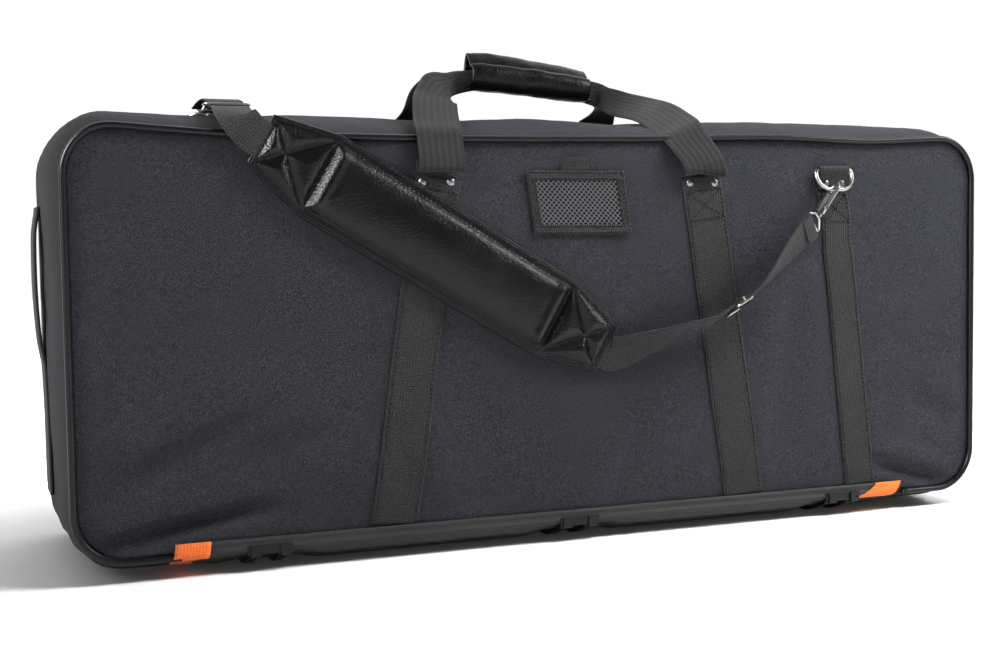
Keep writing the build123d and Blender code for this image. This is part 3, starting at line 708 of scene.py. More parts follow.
def base_shell():
    """The smooth coated base, wrapped round the lower front edge."""
    xs = np.linspace(-BASE_X - 0.006, BASE_X + 0.006, 190)
    clear = np.ones_like(xs)
    for foot_x in (-RUNNER_X, 0.0, RUNNER_X):
        clear = np.minimum(clear, ease(np.abs(xs - foot_x), 0.026, 0.060))
    clear *= 1 - ease(np.abs(xs), 0.36, 0.42)

    def row(y, z):
        return at_depth(xs, np.full_like(xs, z), y)

    grid = []
    for up, out in ((0.0145, 0.0016), (0.010, 0.0018), (0.005, 0.0020)):
        line = drop_on_face(row(0, LOW_Z + up), out)
        line[:, 1] = np.minimum(line[:, 1], face_lo.y - out * 0.4)
        grid.append(line)
    wrapped = len(grid)
    for a in np.radians([12, 32, 52, 72]):
        y = SHELL_Y0 - 0.001 - 0.0072 * math.cos(a)
        grid.append(row(y, LOW_Z + 0.0052 - 0.0056 * math.sin(a)))
    under = len(grid)
    for y in np.linspace(SHELL_Y0 - 0.001, SHELL_Y1 - 0.002, 56):
        grid.append(row(y, LOW_Z - 0.0006 - swell(y)))
    grid = np.array(grid)
    ripple = noise_at(grid, 9.0, 4.4) * 0.0006
    flat = settle(grid[under:])
    lowest = BASE_Z - 0.0002
    bag = 0.0048 * clear[None, :] * (1 - ease(flat[..., 1], CASE_Y - 0.09, CASE_Y - 0.02))
    flat[..., 2] = np.maximum(flat[..., 2] - 0.0003 + ripple[under:] - bag, lowest - bag)
    grid[under:] = flat
    grid[:wrapped, :, 1] += ripple[:wrapped] * 0.6
    down = np.array([0, -0.3, -1.0])
    obj = sheet_piece("base_shell", grid, xs, run_along(grid[:, 0]), CLOTH, COATED, down)
    obj.data.materials.append(FABRIC)
    for face in obj.data.polygons:
        if abs(face.center.x - STRIP_SHIFT) > BASE_X:
            face.material_index = 1
    place(obj, "case", "base_coating", "base_panel", "base_foam", "base_board")


def pipings():
    """Round piping on the front outline, broken by the base, and on the lid's outline."""
    inset = 0.0010
    pts, nrm, _ = outline(-BASE_X - 0.0185, BASE_X + 0.0185, step=0.006)
    path = settle(wall_grid(pts, nrm, [FRONT_Y + 0.0005], [-inset])[0])
    obj = tube("front_piping_tube", path, PIPING_R, PIPE, sides=14, wobble=0.05)
    place(obj, "case", "piping", "front_piping")
    pts, nrm, _ = outline(0.0, 0.0, step=0.006)
    path = wall_grid(pts[:-1], nrm[:-1], [BACK_Y - 0.0005], [-inset])[0]
    obj = tube("rear_piping_tube", path, PIPING_R, PIPE, sides=14, closed=True, wobble=0.05)
    place(obj, "lid", "piping", "rear_piping")


def lid():
    """The lid: padded back face, side band and quilted lining."""
    lid_face()
    lid_side_band()
    lid_quilt()


def lid_face():
    """The lid's padded back face."""
    x, z, xs, zs = rounded_grid(FACE_INSET, 0.0060)
    flat = at_depth(x, z)
    y = BACK_Y - 0.0042 * (1 - face_pillow(x, z))
    y = y + noise_at(flat, 6.0, 12.4) * 0.0016 + noise_at(flat, 19.0, 18.1) * 0.0006
    grid = at_depth(x, z, np.minimum(y, BACK_Y + 0.0010))
    face = sheet_piece("lid_face", grid, xs, zs, CLOTH, FABRIC, BACKWARD)
    place(face, "lid", "shell_fabric", "lid_panel", "lid_foam", fill=0.7)


def lid_side_band():
    """The band round the lid, between its face and the zip."""
    pts, nrm, run = outline(0.0, 0.0)
    band_y0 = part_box("lid_band")[0].y - 0.0005
    ys = np.linspace(band_y0, BACK_Y - 0.003, 9)
    grow = np.interp(ys, [band_y0, band_y0 + 0.009, BACK_Y - 0.003], [0.0040, 0.0041, 0.0005])
    grid = wall_grid(pts, nrm, ys, grow)
    out = flat_normals(nrm)
    band = sheet_piece("lid_side_band", grid, run, ys, 0.0016, FABRIC, out[None])
    place(band, "lid", "shell_fabric", "lid_band")


def lid_quilt():
    """The lid's quilted lining."""
    x, z, xs, zs = rounded_grid(0.0065, 0.0070)
    y0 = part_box("lid_lining")[0].y
    seams = quilt_height(x, z, 0.0)
    grid = at_depth(x, z, y0 + 0.0045 - seams * 0.0042)
    lining = sheet_piece("lid_quilt", grid, xs, zs, 0.0010, LINING, FRONTWARD)
    place(lining, "lid", "lining", "lid_lining", fill=0.5)


def quilt_height(x, z, shift):
    """Height from 0 on a seam to 1, over a sewn diamond pattern with 90 mm between seams."""
    pitch = 0.127
    a = np.abs(((x + z + shift) / pitch) % 1.0 - 0.5) * 2
    b = np.abs(((x - z + shift) / pitch) % 1.0 - 0.5) * 2
    near = np.minimum(1 - a, 1 - b)
    return 1 - np.exp(-near * 6.0)


def zip_parts():
    """Zip tapes and meshing coil turns up the ends and along the top."""
    pts, nrm, run = outline(0.0, 0.0, step=0.008)
    keep = pts[:, 1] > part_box("zip_tape_tray")[0].z
    keep &= ~((np.abs(pts[:, 0]) < HALF_W - CORNER) & (nrm[:, 1] < -0.5))
    pts, nrm, run = pts[keep], nrm[keep], run[keep]
    for body, node in (("case", "zip_tape_tray"), ("lid", "zip_tape_lid")):
        lo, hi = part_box(node)
        ys = np.linspace(lo.y, hi.y, 5)
        grid = wall_grid(pts, nrm, ys, np.full(5, ZIP_LIFT))
        tape = sheet_piece(node + "_cloth", grid, run, ys, 0.0009, TAPE, flat_normals(nrm)[None])
        place(tape, body, "zip_tape", node)
    fine = np.arange(run[0], run[-1], 0.0021)
    centre = np.stack([np.interp(fine, run, pts[:, k]) for k in (0, 1)], axis=1)
    normal = unit(np.stack([np.interp(fine, run, nrm[:, k]) for k in (0, 1)], axis=1))
    for body, node, lean in (("case", "zip_coil_tray", 1), ("lid", "zip_coil_lid", -1)):
        place(coil_turns(node, centre, normal, lean), body, "zip_coil", node)


def coil_turns(node, centre, normal, lean):
    """The turns of one zip coil: small arches over the tape, leaning one way or the other."""
    lo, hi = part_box(node)
    mid_y = (lo.y + hi.y) / 2
    shift = 0.5 if lean > 0 else 0.0
    arch = ((-0.9, 0.2), (-0.55, 1.3), (0.1, 1.6), (0.7, 1.2), (0.9, 0.2))
    verts, faces = [], []
    for c, n in zip(centre, normal):
        ahead = np.array([n[1], -n[0]])
        first = len(verts)
        for dy, h in arch:
            for da in (-0.55, 0.55):
                p = c + n * (ZIP_LIFT + h * 0.001) + ahead * ((da * 0.8 + dy * 0.3 * lean + shift) * 0.001)
                verts.append((p[0], mid_y + dy * 0.0008 * lean, p[1]))
        for i in range(4):
            b = first + 2 * i
            faces.append([b, b + 1, b + 3, b + 2] if lean > 0 else [b + 2, b + 3, b + 1, b])
        ends = [first, first + 2, first + 4, first + 6, first + 8]
        others = [i + 1 for i in ends]
        base = [first, first + 8, first + 9, first + 1]
        for face, way in ((ends, 1), (others, -1), (base, 1)):
            faces.append(face[:: way * lean])
    return piece(node + "_turns", verts, faces, None, COIL, smooth=False)


def hinge_strip():
    """The strip of gusset cloth under the lid's lower edge that the lid turns on."""
    xs = np.linspace(-HALF_W + CORNER, HALF_W - CORNER, 90)
    ys = np.linspace(SHELL_Y1 - 0.006, BACK_Y - 0.0015, 8)
    grid = np.zeros((8, 90, 3))
    grid[..., 0] = xs[None, :]
    grid[..., 1] = ys[:, None]
    grid[..., 2] = LOW_Z - 0.0050 - 0.0006 * np.sin(np.linspace(0, math.pi, 8))[:, None]
    obj = sheet_piece("hinge_strip", grid, xs, ys, 0.0008, FABRIC, np.array([0, 0, -1.0]))
    place(obj, "case", "shell_fabric")


def lining_ring():
    """The lining's rounded outline at every 10 mm, its run length and its box."""
    lo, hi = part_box("tray_lining")
    half_w, half_h = (hi.x - lo.x) / 2, (hi.z - lo.z) / 2
    mid = (hi.z + lo.z) / 2
    ring = []
    for x, z in rounded_ring(half_w, half_h, LINING_CORNER, 10):
        ring.append((x, mid + z))
    ring.append(ring[0])
    ring = np.array(ring)
    length = run_along(ring)
    run = np.append(np.arange(0, length[-1], 0.010), length[-1])
    even = np.stack([np.interp(run, length, ring[:, k]) for k in (0, 1)], axis=1)
    return even, run, half_w, half_h, mid


def rounded_ring(half_w, half_h, r, steps):
    """Points round a rectangle with round corners, from the middle."""
    ring = []
    for cx, cz, a0 in ((1, 1, 0), (-1, 1, 90), (-1, -1, 180), (1, -1, 270)):
        for a in np.radians(np.linspace(a0, a0 + 90, steps)):
            ring.append((cx * (half_w - r) + r * math.cos(a), cz * (half_h - r) + r * math.sin(a)))
    return ring


def inside():
    """The cavity: the soft lining with its bound rim, and the padded divider."""
    ring, run, half_w, half_h, mid = lining_ring()
    rim_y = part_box("tray_lining")[1].y
    lining_walls(ring, run, half_w, half_h, mid, rim_y)
    lining_front()
    rim = at_depth(ring[:-1, 0], ring[:-1, 1], rim_y + 0.0004)
    rim = rim + unit(rim - np.array([0, 0, mid])) * np.array([1, 0, 1]) * 0.0016
    place(tube("rim_binding", rim, 0.0022, TAPE, sides=10, closed=True), "case", "zip_tape")
    rim_cover()
    divider()


def lining_walls(ring, run, half_w, half_h, mid, rim_y):
    """The lining of the cavity's walls, from the front lining to the rim."""
    ys = np.linspace(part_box("front_lining")[0].y + 0.0004, rim_y + 0.0005, 26)
    grid = np.zeros((len(ys), len(run), 3))
    grid[..., 0] = ring[None, :, 0]
    grid[..., 1] = ys[:, None]
    grid[..., 2] = ring[None, :, 1]
    inward = unit(at_depth(-ring[:, 0] / half_w, -(ring[:, 1] - mid) / half_h))
    grid += inward[None] * (noise_at(grid, 11.0, 9.9) * 0.0010 - 0.0004)[..., None]
    walls = sheet_piece("lining_walls", grid, run, ys, 0.0010, LINING, inward[None])
    place(walls, "case", "lining", "tray_lining")


def lining_front():
    """The quilted lining behind the front wall."""
    lo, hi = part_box("tray_lining")
    past = 0.0005
    xs = np.linspace(lo.x - past, hi.x + past, 150)
    zs = np.linspace(lo.z - past, hi.z + past, 60)
    gx, gz = np.meshgrid(xs, zs)
    y0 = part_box("front_lining")[0].y
    grid = at_depth(gx, gz, y0 + 0.0003 + quilt_height(gx, gz, 0.03) * 0.0016)
    wall = sheet_piece("lining_front", grid, xs, zs, 0.0009, LINING, BACKWARD)
    place(wall, "case", "lining", "front_lining")


def rim_cover():
    """The cloth between the lining's rim and the gusset's back edge."""
    pts, nrm, run = outline(0.0, 0.0)
    lo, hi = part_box("tray_lining")
    half_w, half_h, mid = (hi.x - lo.x) / 2, (hi.z - lo.z) / 2, (hi.z + lo.z) / 2
    flat_w, flat_h = half_w - LINING_CORNER, half_h - LINING_CORNER
    outer = pts + nrm * 0.0032
    near_x = np.clip(outer[:, 0], -flat_w, flat_w)
    near = np.stack([near_x, np.clip(outer[:, 1], mid - flat_h, mid + flat_h)], axis=1)
    inner = near + unit(outer - near) * LINING_CORNER
    steps = ((0.0, SHELL_Y1 - 0.007), (0.35, SHELL_Y1 + 0.0005), (0.7, hi.y - 0.0006), (1.0, hi.y - 0.0012))
    rows = []
    for t, y in steps:
        p = outer * (1 - t) + inner * t
        rows.append(at_depth(p[:, 0], p[:, 1], y))
    grid = np.array(rows)
    obj = sheet_piece("rim_cover", grid, run, [0, 0.006, 0.012, 0.018], 0.0008, LINING, BACKWARD)
    place(obj, "case", "lining")


def divider():
    """The padded divider: two crowned faces and a bound edge."""
    lo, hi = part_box("divider")
    ys = np.linspace(lo.y + 0.002, hi.y - 0.002, 34)
    zs = np.linspace(lo.z + 0.002, hi.z - 0.002, 56)
    gy, gz = np.meshgrid(ys, zs)
    u = (gy - (lo.y + hi.y) / 2) / ((hi.y - lo.y) / 2)
    v = (gz - (lo.z + hi.z) / 2) / ((hi.z - lo.z) / 2)
    crown = (1 - np.abs(u) ** 6) * (1 - np.abs(v) ** 8)
    half = (hi.x - lo.x) / 2
    mid = (hi.x + lo.x) / 2
    parts = []
    for side in (-1, 1):
        x = mid + side * (half * 0.30 + crown * half * 0.62)
        grid = np.stack([x, gy, gz], axis=-1)
        parts.append(sheet_piece("divider_side", grid, ys, zs, 0.0030, LINING, np.array([side, 0.0, 0.0])))
    edge = [(mid, ys[0], zs[0]), (mid, ys[-1], zs[0]), (mid, ys[-1], zs[-1]), (mid, ys[0], zs[-1])]
    path = []
    for k in range(4):
        a, b = np.array(edge[k]), np.array(edge[(k + 1) % 4])
        path += [a + (b - a) * t for t in np.linspace(0.03, 0.97, 24)]
    parts.append(tube("divider_edge", path, 0.0032, TAPE, sides=10, closed=True))
    place(join("divider_pad", parts), "divider", "foam", "divider", fill=0.7)


# ------------------------------------------------------------------ handle webbing
STRAP_W = 0.050  # width
TOP_X, FOOT_X = 0.156, 0.208  # middle of a handle strap at its rivets and at its foot
STRAP_SLOPE = 0.147  # how far a handle strap leans
RING_FOOT_X = 0.3665  # foot of the D-ring strap
RING_STRAP_W = 0.040
RIVET_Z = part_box("rivets")[0].z + 0.0052
GRIP_LO, GRIP_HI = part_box("grip_webbing")
GRIP_MID_Z = (GRIP_LO.z + GRIP_HI.z) / 2
GRIP_TILT = math.radians(4.5)
GRIP_SHIFT = 0.0085  # of the grip to the right of the case's middle


def grip_z(x):
    """Height of the tilted grip's middle line."""
    return GRIP_MID_Z - x * math.tan(GRIP_TILT)


def strap_x(z):
    """Where a handle strap's middle is on the front face at height z."""
    return TOP_X + (FOOT_X - TOP_X) * (RIVET_Z - z) / (RIVET_Z - FOOT)


def route(rows, width=50.0):
    """Stations given in millimetres, with y from the middle of the case's depth, in metres."""
    out = []
    for x, y, z, ax, ay, az, *wide in rows:
        out.append((x / 1000, CASE_Y + y / 1000, z / 1000, ax, ay, az, (wide[0] if wide else width) / 1000))
    return out


# The loose webbing from the rivets to the grip: curled under, bulging out, over the edge, and
# folded in half into the grip. The right one leans in and the left one stands straight.
LEFT_FRONT = [
    (-154, -152.6, 411, -1, 0, 0), (-154, -155.0, 402.5, -1, 0, 0), (-154, -159.8, 399, -1, 0, 0),
    (-154, -163.6, 405, -1, 0, 0), (-154, -161.6, 420, -1, 0, 0), (-154, -157.0, 440, -1, 0, 0),
    (-153, -151.0, 452, -1, 0, 0), (-148, -130, 463, -1, 0, 0.03), (-139, -100, 475, -0.98, 0, 0.14),
    (-126, -66, 486, -0.96, 0, 0.28, 48), (-114, -46, 495, -0.76, 0, 0.65, 49),
    (-101, -27, 501, -0.3, 0, 0.95, 34),
    (-90, -11, 506, 0, 0, 1, 27), (-75, -6.5, 510, 0, 0, 1, 25), (-48, -6, 514, 0, 0, 1, 23),
]
RIGHT_FRONT = [
    (154, -152.6, 411, 1, 0, 0), (154.5, -155.0, 402.5, 1, 0, -0.1), (154.5, -159.8, 398, 1, 0, -0.1),
    (152, -163.6, 406, 1, 0, 0), (145, -161.4, 422, 0.96, 0, 0.2), (134, -157.0, 441, 0.9, 0, 0.3),
    (130, -149.0, 452, 0.9, 0, 0.34), (131, -126, 461, 0.86, 0, 0.38), (129, -98, 470, 0.85, 0, 0.40),
    (121, -62, 479, 0.75, 0, 0.45, 45), (112, -34, 486, 0.50, 0, 0.62, 35), (103, -14, 494, 0.10, 0, 1, 28),
    (92, -6.5, 502, 0, 0, 1, 25), (64, -6, 507, 0, 0, 1, 23),
]
LEFT_REAR = [
    (-128, 92, 461.4, -1, 0, 0), (-125, 80, 464.2, -1, 0, 0), (-115, 70, 469, -0.9, -0.4, 0),
    (-106, 50, 484, -0.65, -0.7, 0.3), (-102, 28, 499, -0.4, -0.45, 0.75, 40), (-93, 12, 506, 0, 0, 1, 28),
    (-78, 5.5, 511, 0, 0, 1, 25), (-48, 5.5, 514, 0, 0, 1, 23),
]
RIGHT_REAR = [
    (128, 92, 461.4, 1, 0, 0), (127.5, 80, 464.2, 1, 0, 0), (127, 70, 468, 1, 0, 0),
    (120, 45, 482, 0.9, 0, 0.3), (112, 22, 493, 0.6, 0, 0.8, 40), (102, 9, 499, 0, 0, 1, 28),
    (90, 5.5, 502, 0, 0, 1, 25), (64, 5.5, 507, 0, 0, 1, 23),
]


def sewn_straps():
    """The stretches of the handle webbing that are sewn down, on the face and on the top."""
    parts = []
    for side in (-1, 1):
        rows = []
        for z in np.linspace(FOOT, RIVET_Z + 0.012, 9):
            rows.append((side * strap_x(z), FRONT_Y - 0.0013, z, side, 0, STRAP_SLOPE))
        parts.append(webbing("sewn_part", rows, STRAP_W, WEB, drape=strap_drape))
    place(join("sewn_front_straps", parts), "case", "webbing", "front_straps")
    parts = []
    for side in (-1, 1):
        rows = []
        for y in (115, 108, 100, 92, 84):
            rows.append((side * 128, y, 444 + 1000 * float(swell(CASE_Y + y / 1000)) + 1.9, side, 0, 0))
        parts.append(webbing("sewn_part", route(rows), STRAP_W, WEB))
    place(join("sewn_rear_straps", parts), "case", "webbing", "rear_straps")


def risers():
    """The loose webbing between the case and the grip."""
    for name, routes, node in (
        ("front", (LEFT_FRONT, RIGHT_FRONT), "front_risers"),
        ("rear", (LEFT_REAR, RIGHT_REAR), "rear_risers"),
    ):
        parts = []
        for rows in routes:
            part = webbing("riser_part", route(rows), STRAP_W, WEB_FINE, step=0.003, drape=riser_drape)
            parts.append(part)
        obj = join(name + "_riser_webbing", parts)
        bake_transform(obj)
        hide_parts(node)


def over_edge(p):
    """1 at the case's front edge, falling to 0 behind it."""
    return 1 - ease(p[..., 1], FRONT_Y + 0.01, FRONT_Y + 0.075)


def riser_drape(grid):
    """Webbing that passes over the front edge follows its sag, and ripples a little."""
    p = np.array(grid, float)
    p[..., 2] -= sag_curve(p[..., 0]) * over_edge(p) * ease(p[..., 2], RIVET_Z + 0.02, TOP_Z)
    p[..., 1] += noise_at(p, 26.0, 1.3) * 0.0012 * ease(p[..., 2], RIVET_Z + 0.01, RIVET_Z + 0.03)
    return p


def strap_drape(grid):
    """Webbing points that lie on the face follow its folds; those over the edge follow its sag."""
    p = np.array(grid, float)
    on_face = 1 - ease(p[..., 2], RIVET_Z + 0.008, RIVET_Z + 0.030)
    on_face *= 1 - ease(p[..., 1], FRONT_Y + 0.002, FRONT_Y + 0.006)
    shift = face_depth(p[..., 0], p[..., 2]) - FRONT_Y
    p[..., 1] += shift * on_face
    p[..., 2] -= top_sag(p[..., 0], p[..., 2]) * over_edge(p)
    return p


def rivet_domes():
    """Domed rivets set in the webbing."""
    parts = []
    ring_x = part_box("d_ring_front")
    cx = (ring_x[0].x + ring_x[1].x) / 2
    profile = ((0.0014, 0.00155), (0.0028, 0.0012), (0.0038, 0.0006), (0.0043, 0.0), (0.0047, -0.0003))
    spots = [(s * TOP_X + d, RIVET_Z, 0.0021) for s in (-1, 1) for d in (-0.0155, 0.0155)]
    spots += [(cx + 0.001 + d, RIVET_Z - 0.0005, 0.0074) for d in (-0.0105, 0.0105)]
    for x, z, height in spots:
        y = float(face_depth(x, z)) - height
        verts, faces = [(x, y - 0.0016, z)], []
        sides = 20
        for r, h in profile:
            for k in range(sides):
                a = 2 * math.pi * k / sides
                verts.append((x + r * math.cos(a), y - h, z + r * math.sin(a)))
        for k in range(sides):
            faces.append((0, 1 + k, 1 + (k + 1) % sides))
        for i in range(len(profile) - 1):
            for k in range(sides):
                a, b = 1 + i * sides + k, 1 + i * sides + (k + 1) % sides
                faces.append((a, a + sides, b + sides, b))
        last = 1 + (len(profile) - 1) * sides
        faces.append([last + k for k in range(sides)][::-1])
        parts.append(piece("rivet", verts, faces, None, SATIN))
    place(join("rivet_domes", parts), "case", "rivet_metal", "rivets")


def grip_leaf(name, profile, outward, bow):
    """A leatherette leaf of the grip: its (y, z) profile drawn along x, pinched by bow at the ends."""
    lo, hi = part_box("grip_wrap")
    half = (hi.x - lo.x) / 2 * 0.97
    xs = np.linspace(-half, half, 60)
    pts, run = spline([(y, z, 0) for y, z in profile], 0.0022)
    grid = np.zeros((len(pts), len(xs), 3))
    for j, x in enumerate(xs):
        t = x / half
        pinch = 1 - bow * (t * t) ** 3
        lower = 1 - 0.22 * ease(t, -0.9, 0.9) * (pts[:, 1] > 0)
        grid[:, j, 0] = x
        grid[:, j, 1] = pts[:, 0] * pinch
        grid[:, j, 2] = pts[:, 1] * pinch * lower - 0.0015 * (t * t - 0.3)
    grid[..., 2] += noise_at(grid, 55.0, 2.2) * 0.0009
    grid[..., 1] += noise_at(grid, 48.0, 6.3) * 0.0010
    end = ease(np.abs(xs), half - 0.009, half - 0.005)[None, :]
    normals = grid_normals(grid)
    way = np.sign(np.sum(normals * outward, axis=-1).mean())
    grid = grid - normals * (end * 0.0006 * way)[..., None]
    turn = Matrix.Rotation(GRIP_TILT, 3, "Y")
    grid = grid @ np.array(turn).T + np.array([GRIP_SHIFT, CASE_Y, GRIP_MID_Z])
    return sheet_piece(name, grid, xs, run, 0.0030, LEATHER, outward)


def grip():
    """The wrapped grip: a folded leatherette leaf round the webbing and its front flap."""
    rear = [
        (0.0060, -0.0215), (0.0130, -0.0175), (0.0150, -0.006), (0.0148, 0.008), (0.0118, 0.0200),
        (0.0065, 0.0230), (0.0000, 0.0190), (-0.0065, 0.0125), (-0.0122, 0.0045),
    ]
    wrap = grip_leaf("grip_wrap_leaf", rear, np.array([0, 0.6, 0.8]), bow=0.06)
    place(wrap, "carry_handle", "leatherette", "grip_wrap", "grip_webbing", fill=0.4)
    front = [
        (-0.0118, 0.0082), (-0.0160, 0.0062), (-0.0198, 0.0010), (-0.0212, -0.0060), (-0.0195, -0.0145),
        (-0.0140, -0.0208), (-0.0040, -0.0232), (0.0050, -0.0228),
    ]
    flap = grip_leaf("grip_flap_leaf", front, np.array([0, -1.0, -0.2]), bow=0.05)
    place(flap, "handle_flap", "leatherette", "grip_flap", fill=0.4)
    core = []
    for y in (-0.0035, 0.0035):
        rows = [(x, CASE_Y + y, grip_z(x), 0, 0, 1, 0.026) for x in np.linspace(-0.050, 0.066, 7)]
        core.append(webbing("grip_core_part", rows, 0.026, WEB))
    place(join("grip_core_webbing", core), "carry_handle", "webbing")


# ------------------------------------------------------------------ things on the front face
def pocket_lean(points):
    """The pocket leans with the straps beside it."""
    p = np.array(points, float)
    p[..., 0] += (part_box("id_pocket")[1].z - p[..., 2]) * 0.14
    return p


def pocket_drape(grid):
    """The pocket's binding leans and puckers."""
    p = pocket_lean(grid)
    p[..., 1] += noise_at(p, 150.0, 3.1) * 0.0007
    p[..., 0] += noise_at(p, 120.0, 7.7) * 0.0004
    p[..., 2] += noise_at(p, 120.0, 9.2) * 0.0005
    return p


def id_pocket():
    """Pocket frame of folded binding, its mesh window and the card's pull tab."""
    lo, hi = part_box("id_pocket")
    cx, cz = (lo.x + hi.x) / 2, (lo.z + hi.z) / 2
    half_w, half_h, band = (hi.x - lo.x) / 2, (hi.z - lo.z) / 2, 0.0105
    face = face_depth(cx, cz) - 0.0010

    def strip(x0, z0, x1, z1, across, lift):
        rows = []
        for t in np.linspace(0, 1, 6):
            rows.append((x0 + (x1 - x0) * t, face - lift, z0 + (z1 - z0) * t, *across, band))
        return webbing("pocket_strip", rows, band, WEB, thick=0.0016, step=0.002, drape=pocket_drape)

    ix, iz = half_w - band / 2, half_h - band / 2
    parts = []
    for z in (cz + iz, cz - iz):
        parts.append(strip(cx - half_w, z, cx + half_w, z, (0, 0, 1), 0.0018))
    for x in (cx - ix, cx + ix):
        parts.append(strip(x, cz - half_h, x, cz + half_h, (1, 0, 0), 0.0012))
    place(join("pocket_binding", parts), "case", "webbing", "id_pocket")
    pocket_mesh(cx, cz, half_w - band + 0.001, half_h - band + 0.001, face - 0.0012)

    lo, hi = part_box("id_pull_tab")
    x = (lo.x + hi.x) / 2
    rows = []
    for t in np.linspace(0, 1, 6):
        rows.append((x, hi.y - 0.0008 - 0.0042 * t * t, lo.z + (hi.z - 0.001 - lo.z) * t, 1, 0, 0))
    tab = webbing("card_pull_tab", rows, hi.x - lo.x, WEB, thick=0.0012)
    place(tab, "name_card", "webbing", "id_pull_tab")


def pocket_mesh(cx, cz, half_w, half_h, depth):
    """The window's open mesh: two sets of thin slanting bars."""
    thread = 0.00045
    spacing = 0.0040 * math.sqrt(2)
    box_faces = ((0, 1, 5, 4), (2, 6, 7, 3), (0, 4, 6, 2), (1, 3, 7, 5), (0, 2, 3, 1), (4, 5, 7, 6))
    verts, faces = [], []

    def bar(a, b, y):
        d = unit(b - a)
        s = np.array([-d[1], d[0]])
        first = len(verts)
        for p in (a, b):
            for k in (-1, 1):
                for h in (-1, 1):
                    verts.append((p[0] + s[0] * k * thread, y + h * thread * 0.6, p[1] + s[1] * k * thread))
        faces.extend([first + i for i in face] for face in box_faces)

    for slope in (1, -1):
        for c in np.arange(-half_w - half_h, half_w + half_h, spacing):
            a, b = np.array([c - half_h, -slope * half_h]), np.array([c + half_h, slope * half_h])
            t0 = max(0.0, (-half_w - a[0]) / (b[0] - a[0]))
            t1 = min(1.0, (half_w - a[0]) / (b[0] - a[0]))
            if t1 > t0:
                middle = np.array([cx, cz])
                bar(middle + a + (b - a) * t0, middle + a + (b - a) * t1, depth - slope * 0.0002)
    obj = piece("pocket_mesh", pocket_lean(verts), faces, None, MESH, smooth=False)
    place(obj, "case", "mesh", "id_mesh")


def ring_strap():
    """The D-ring's strap down the face, and the loop round the ring's bar."""
    ring_lo, ring_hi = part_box("d_ring_front")
    cx = (ring_lo.x + ring_hi.x) / 2
    bar_z = ring_hi.z - 0.00225
    bar_y = ring_hi.y - 0.00225
    slope = (RING_FOOT_X - cx) / (bar_z - FOOT)
    rows = []
    for z in np.linspace(FOOT, bar_z - 0.020, 9):
        rows.append((cx + slope * (bar_z - z), FRONT_Y - 0.0013, z, 1, 0, slope))
    strap = webbing("ring_strap_part", rows, RING_STRAP_W, WEB, drape=strap_drape)
    loop = [(cx + 0.0016, FRONT_Y - 0.0013, bar_z - 0.021, 1, 0, 0)]
    loop += [(cx + 0.0008, FRONT_Y - 0.0016, bar_z - 0.010, 1, 0, 0)]
    for a in np.radians([10, 50, 90, 130, 170]):
        loop.append((cx, bar_y + 0.0036 * math.cos(a), bar_z + 0.0036 * math.sin(a), 1, 0, 0))
    loop += [(cx + 0.0008, FRONT_Y - 0.0046, bar_z - 0.009, 1, 0, 0)]
    loop += [(cx + 0.0020, FRONT_Y - 0.0032, bar_z - 0.0195, 1, 0, 0)]
    fold = webbing("ring_loop_part", loop, RING_STRAP_W, WEB, thick=0.0016, step=0.0012)
    place(join("ring_strap_webbing", [strap, fold]), "case", "webbing", "ring_strap_front")


def rear_tab():
    """The tab on the top that holds the rear D-ring."""
    lo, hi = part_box("ring_tab_rear")
    cx = (lo.x + hi.x) / 2
    bar_y, bar_z = lo.y + 0.0040, hi.z - 0.0040
    rows = [(cx, hi.y, lo.z + 0.0030, 1, 0, 0), (cx, hi.y - 0.008, lo.z + 0.0068, 1, 0, 0)]
    for a in np.radians([60, 100, 150, 200, 250, 290]):
        rows.append((cx, bar_y + 0.0034 * math.cos(a), bar_z + 0.0034 * math.sin(a), 1, 0, 0))
    rows += [(cx, hi.y - 0.012, lo.z + 0.0056, 1, 0, 0), (cx, hi.y - 0.002, lo.z + 0.0022, 1, 0, 0)]
    obj = webbing("rear_ring_tab", rows, RING_STRAP_W, WEB, thick=0.0014, step=0.0015)
    place(obj, "case", "webbing", "ring_tab_rear")


def orange_trim():
    """Orange webbing over the base seams, from the face under the case to the back.

    The right strip leans in towards the base.
    """
    parts = []
    across = np.linspace(0, 1, 8)
    for side in (-1, 1):
        left, right = (0.030, 0.013) if side > 0 else (0.003, 0.003)
        middle = side * BASE_X + STRIP_SHIFT + (0.004 if side > 0 else 0)
        path = [(face_lo.y - 0.0024, LOW_Z + 0.0150, 0.0), (face_lo.y - 0.0028, LOW_Z + 0.0115, 0.08)]
        path += [(face_lo.y - 0.0032, LOW_Z + 0.0070, 0.30), (SHELL_Y0 - 0.0084, LOW_Z + 0.0028, 0.58)]
        path += [(SHELL_Y0 - 0.0066, LOW_Z - 0.0004, 0.85), (SHELL_Y0 - 0.0030, LOW_Z - 0.0022, 1.0)]
        for y in np.linspace(SHELL_Y0 + 0.006, SHELL_Y1 - 0.004, 16):
            path.append((y, max(LOW_Z - 0.0014 - float(swell(y)), BASE_Z - 0.0003), 1.0))
        grid = np.zeros((len(path), len(across), 3))
        for i, (y, z, t) in enumerate(path):
            x0, x1 = middle - STRIP_W / 2 - left * t, middle + STRIP_W / 2 - right * t
            grid[i, :, 0] = x0 + (x1 - x0) * across
            grid[i, :, 1] = y
            grid[i, :, 2] = z
        run = run_along(grid[:, 0])
        down = np.array([0, -0.4, -1.0])
        parts.append(sheet_piece("orange_part", grid, across * STRIP_W, run, 0.0012, ORANGE, down))
    place(join("orange_trim", parts), "case", "orange_trim", "orange_strips")


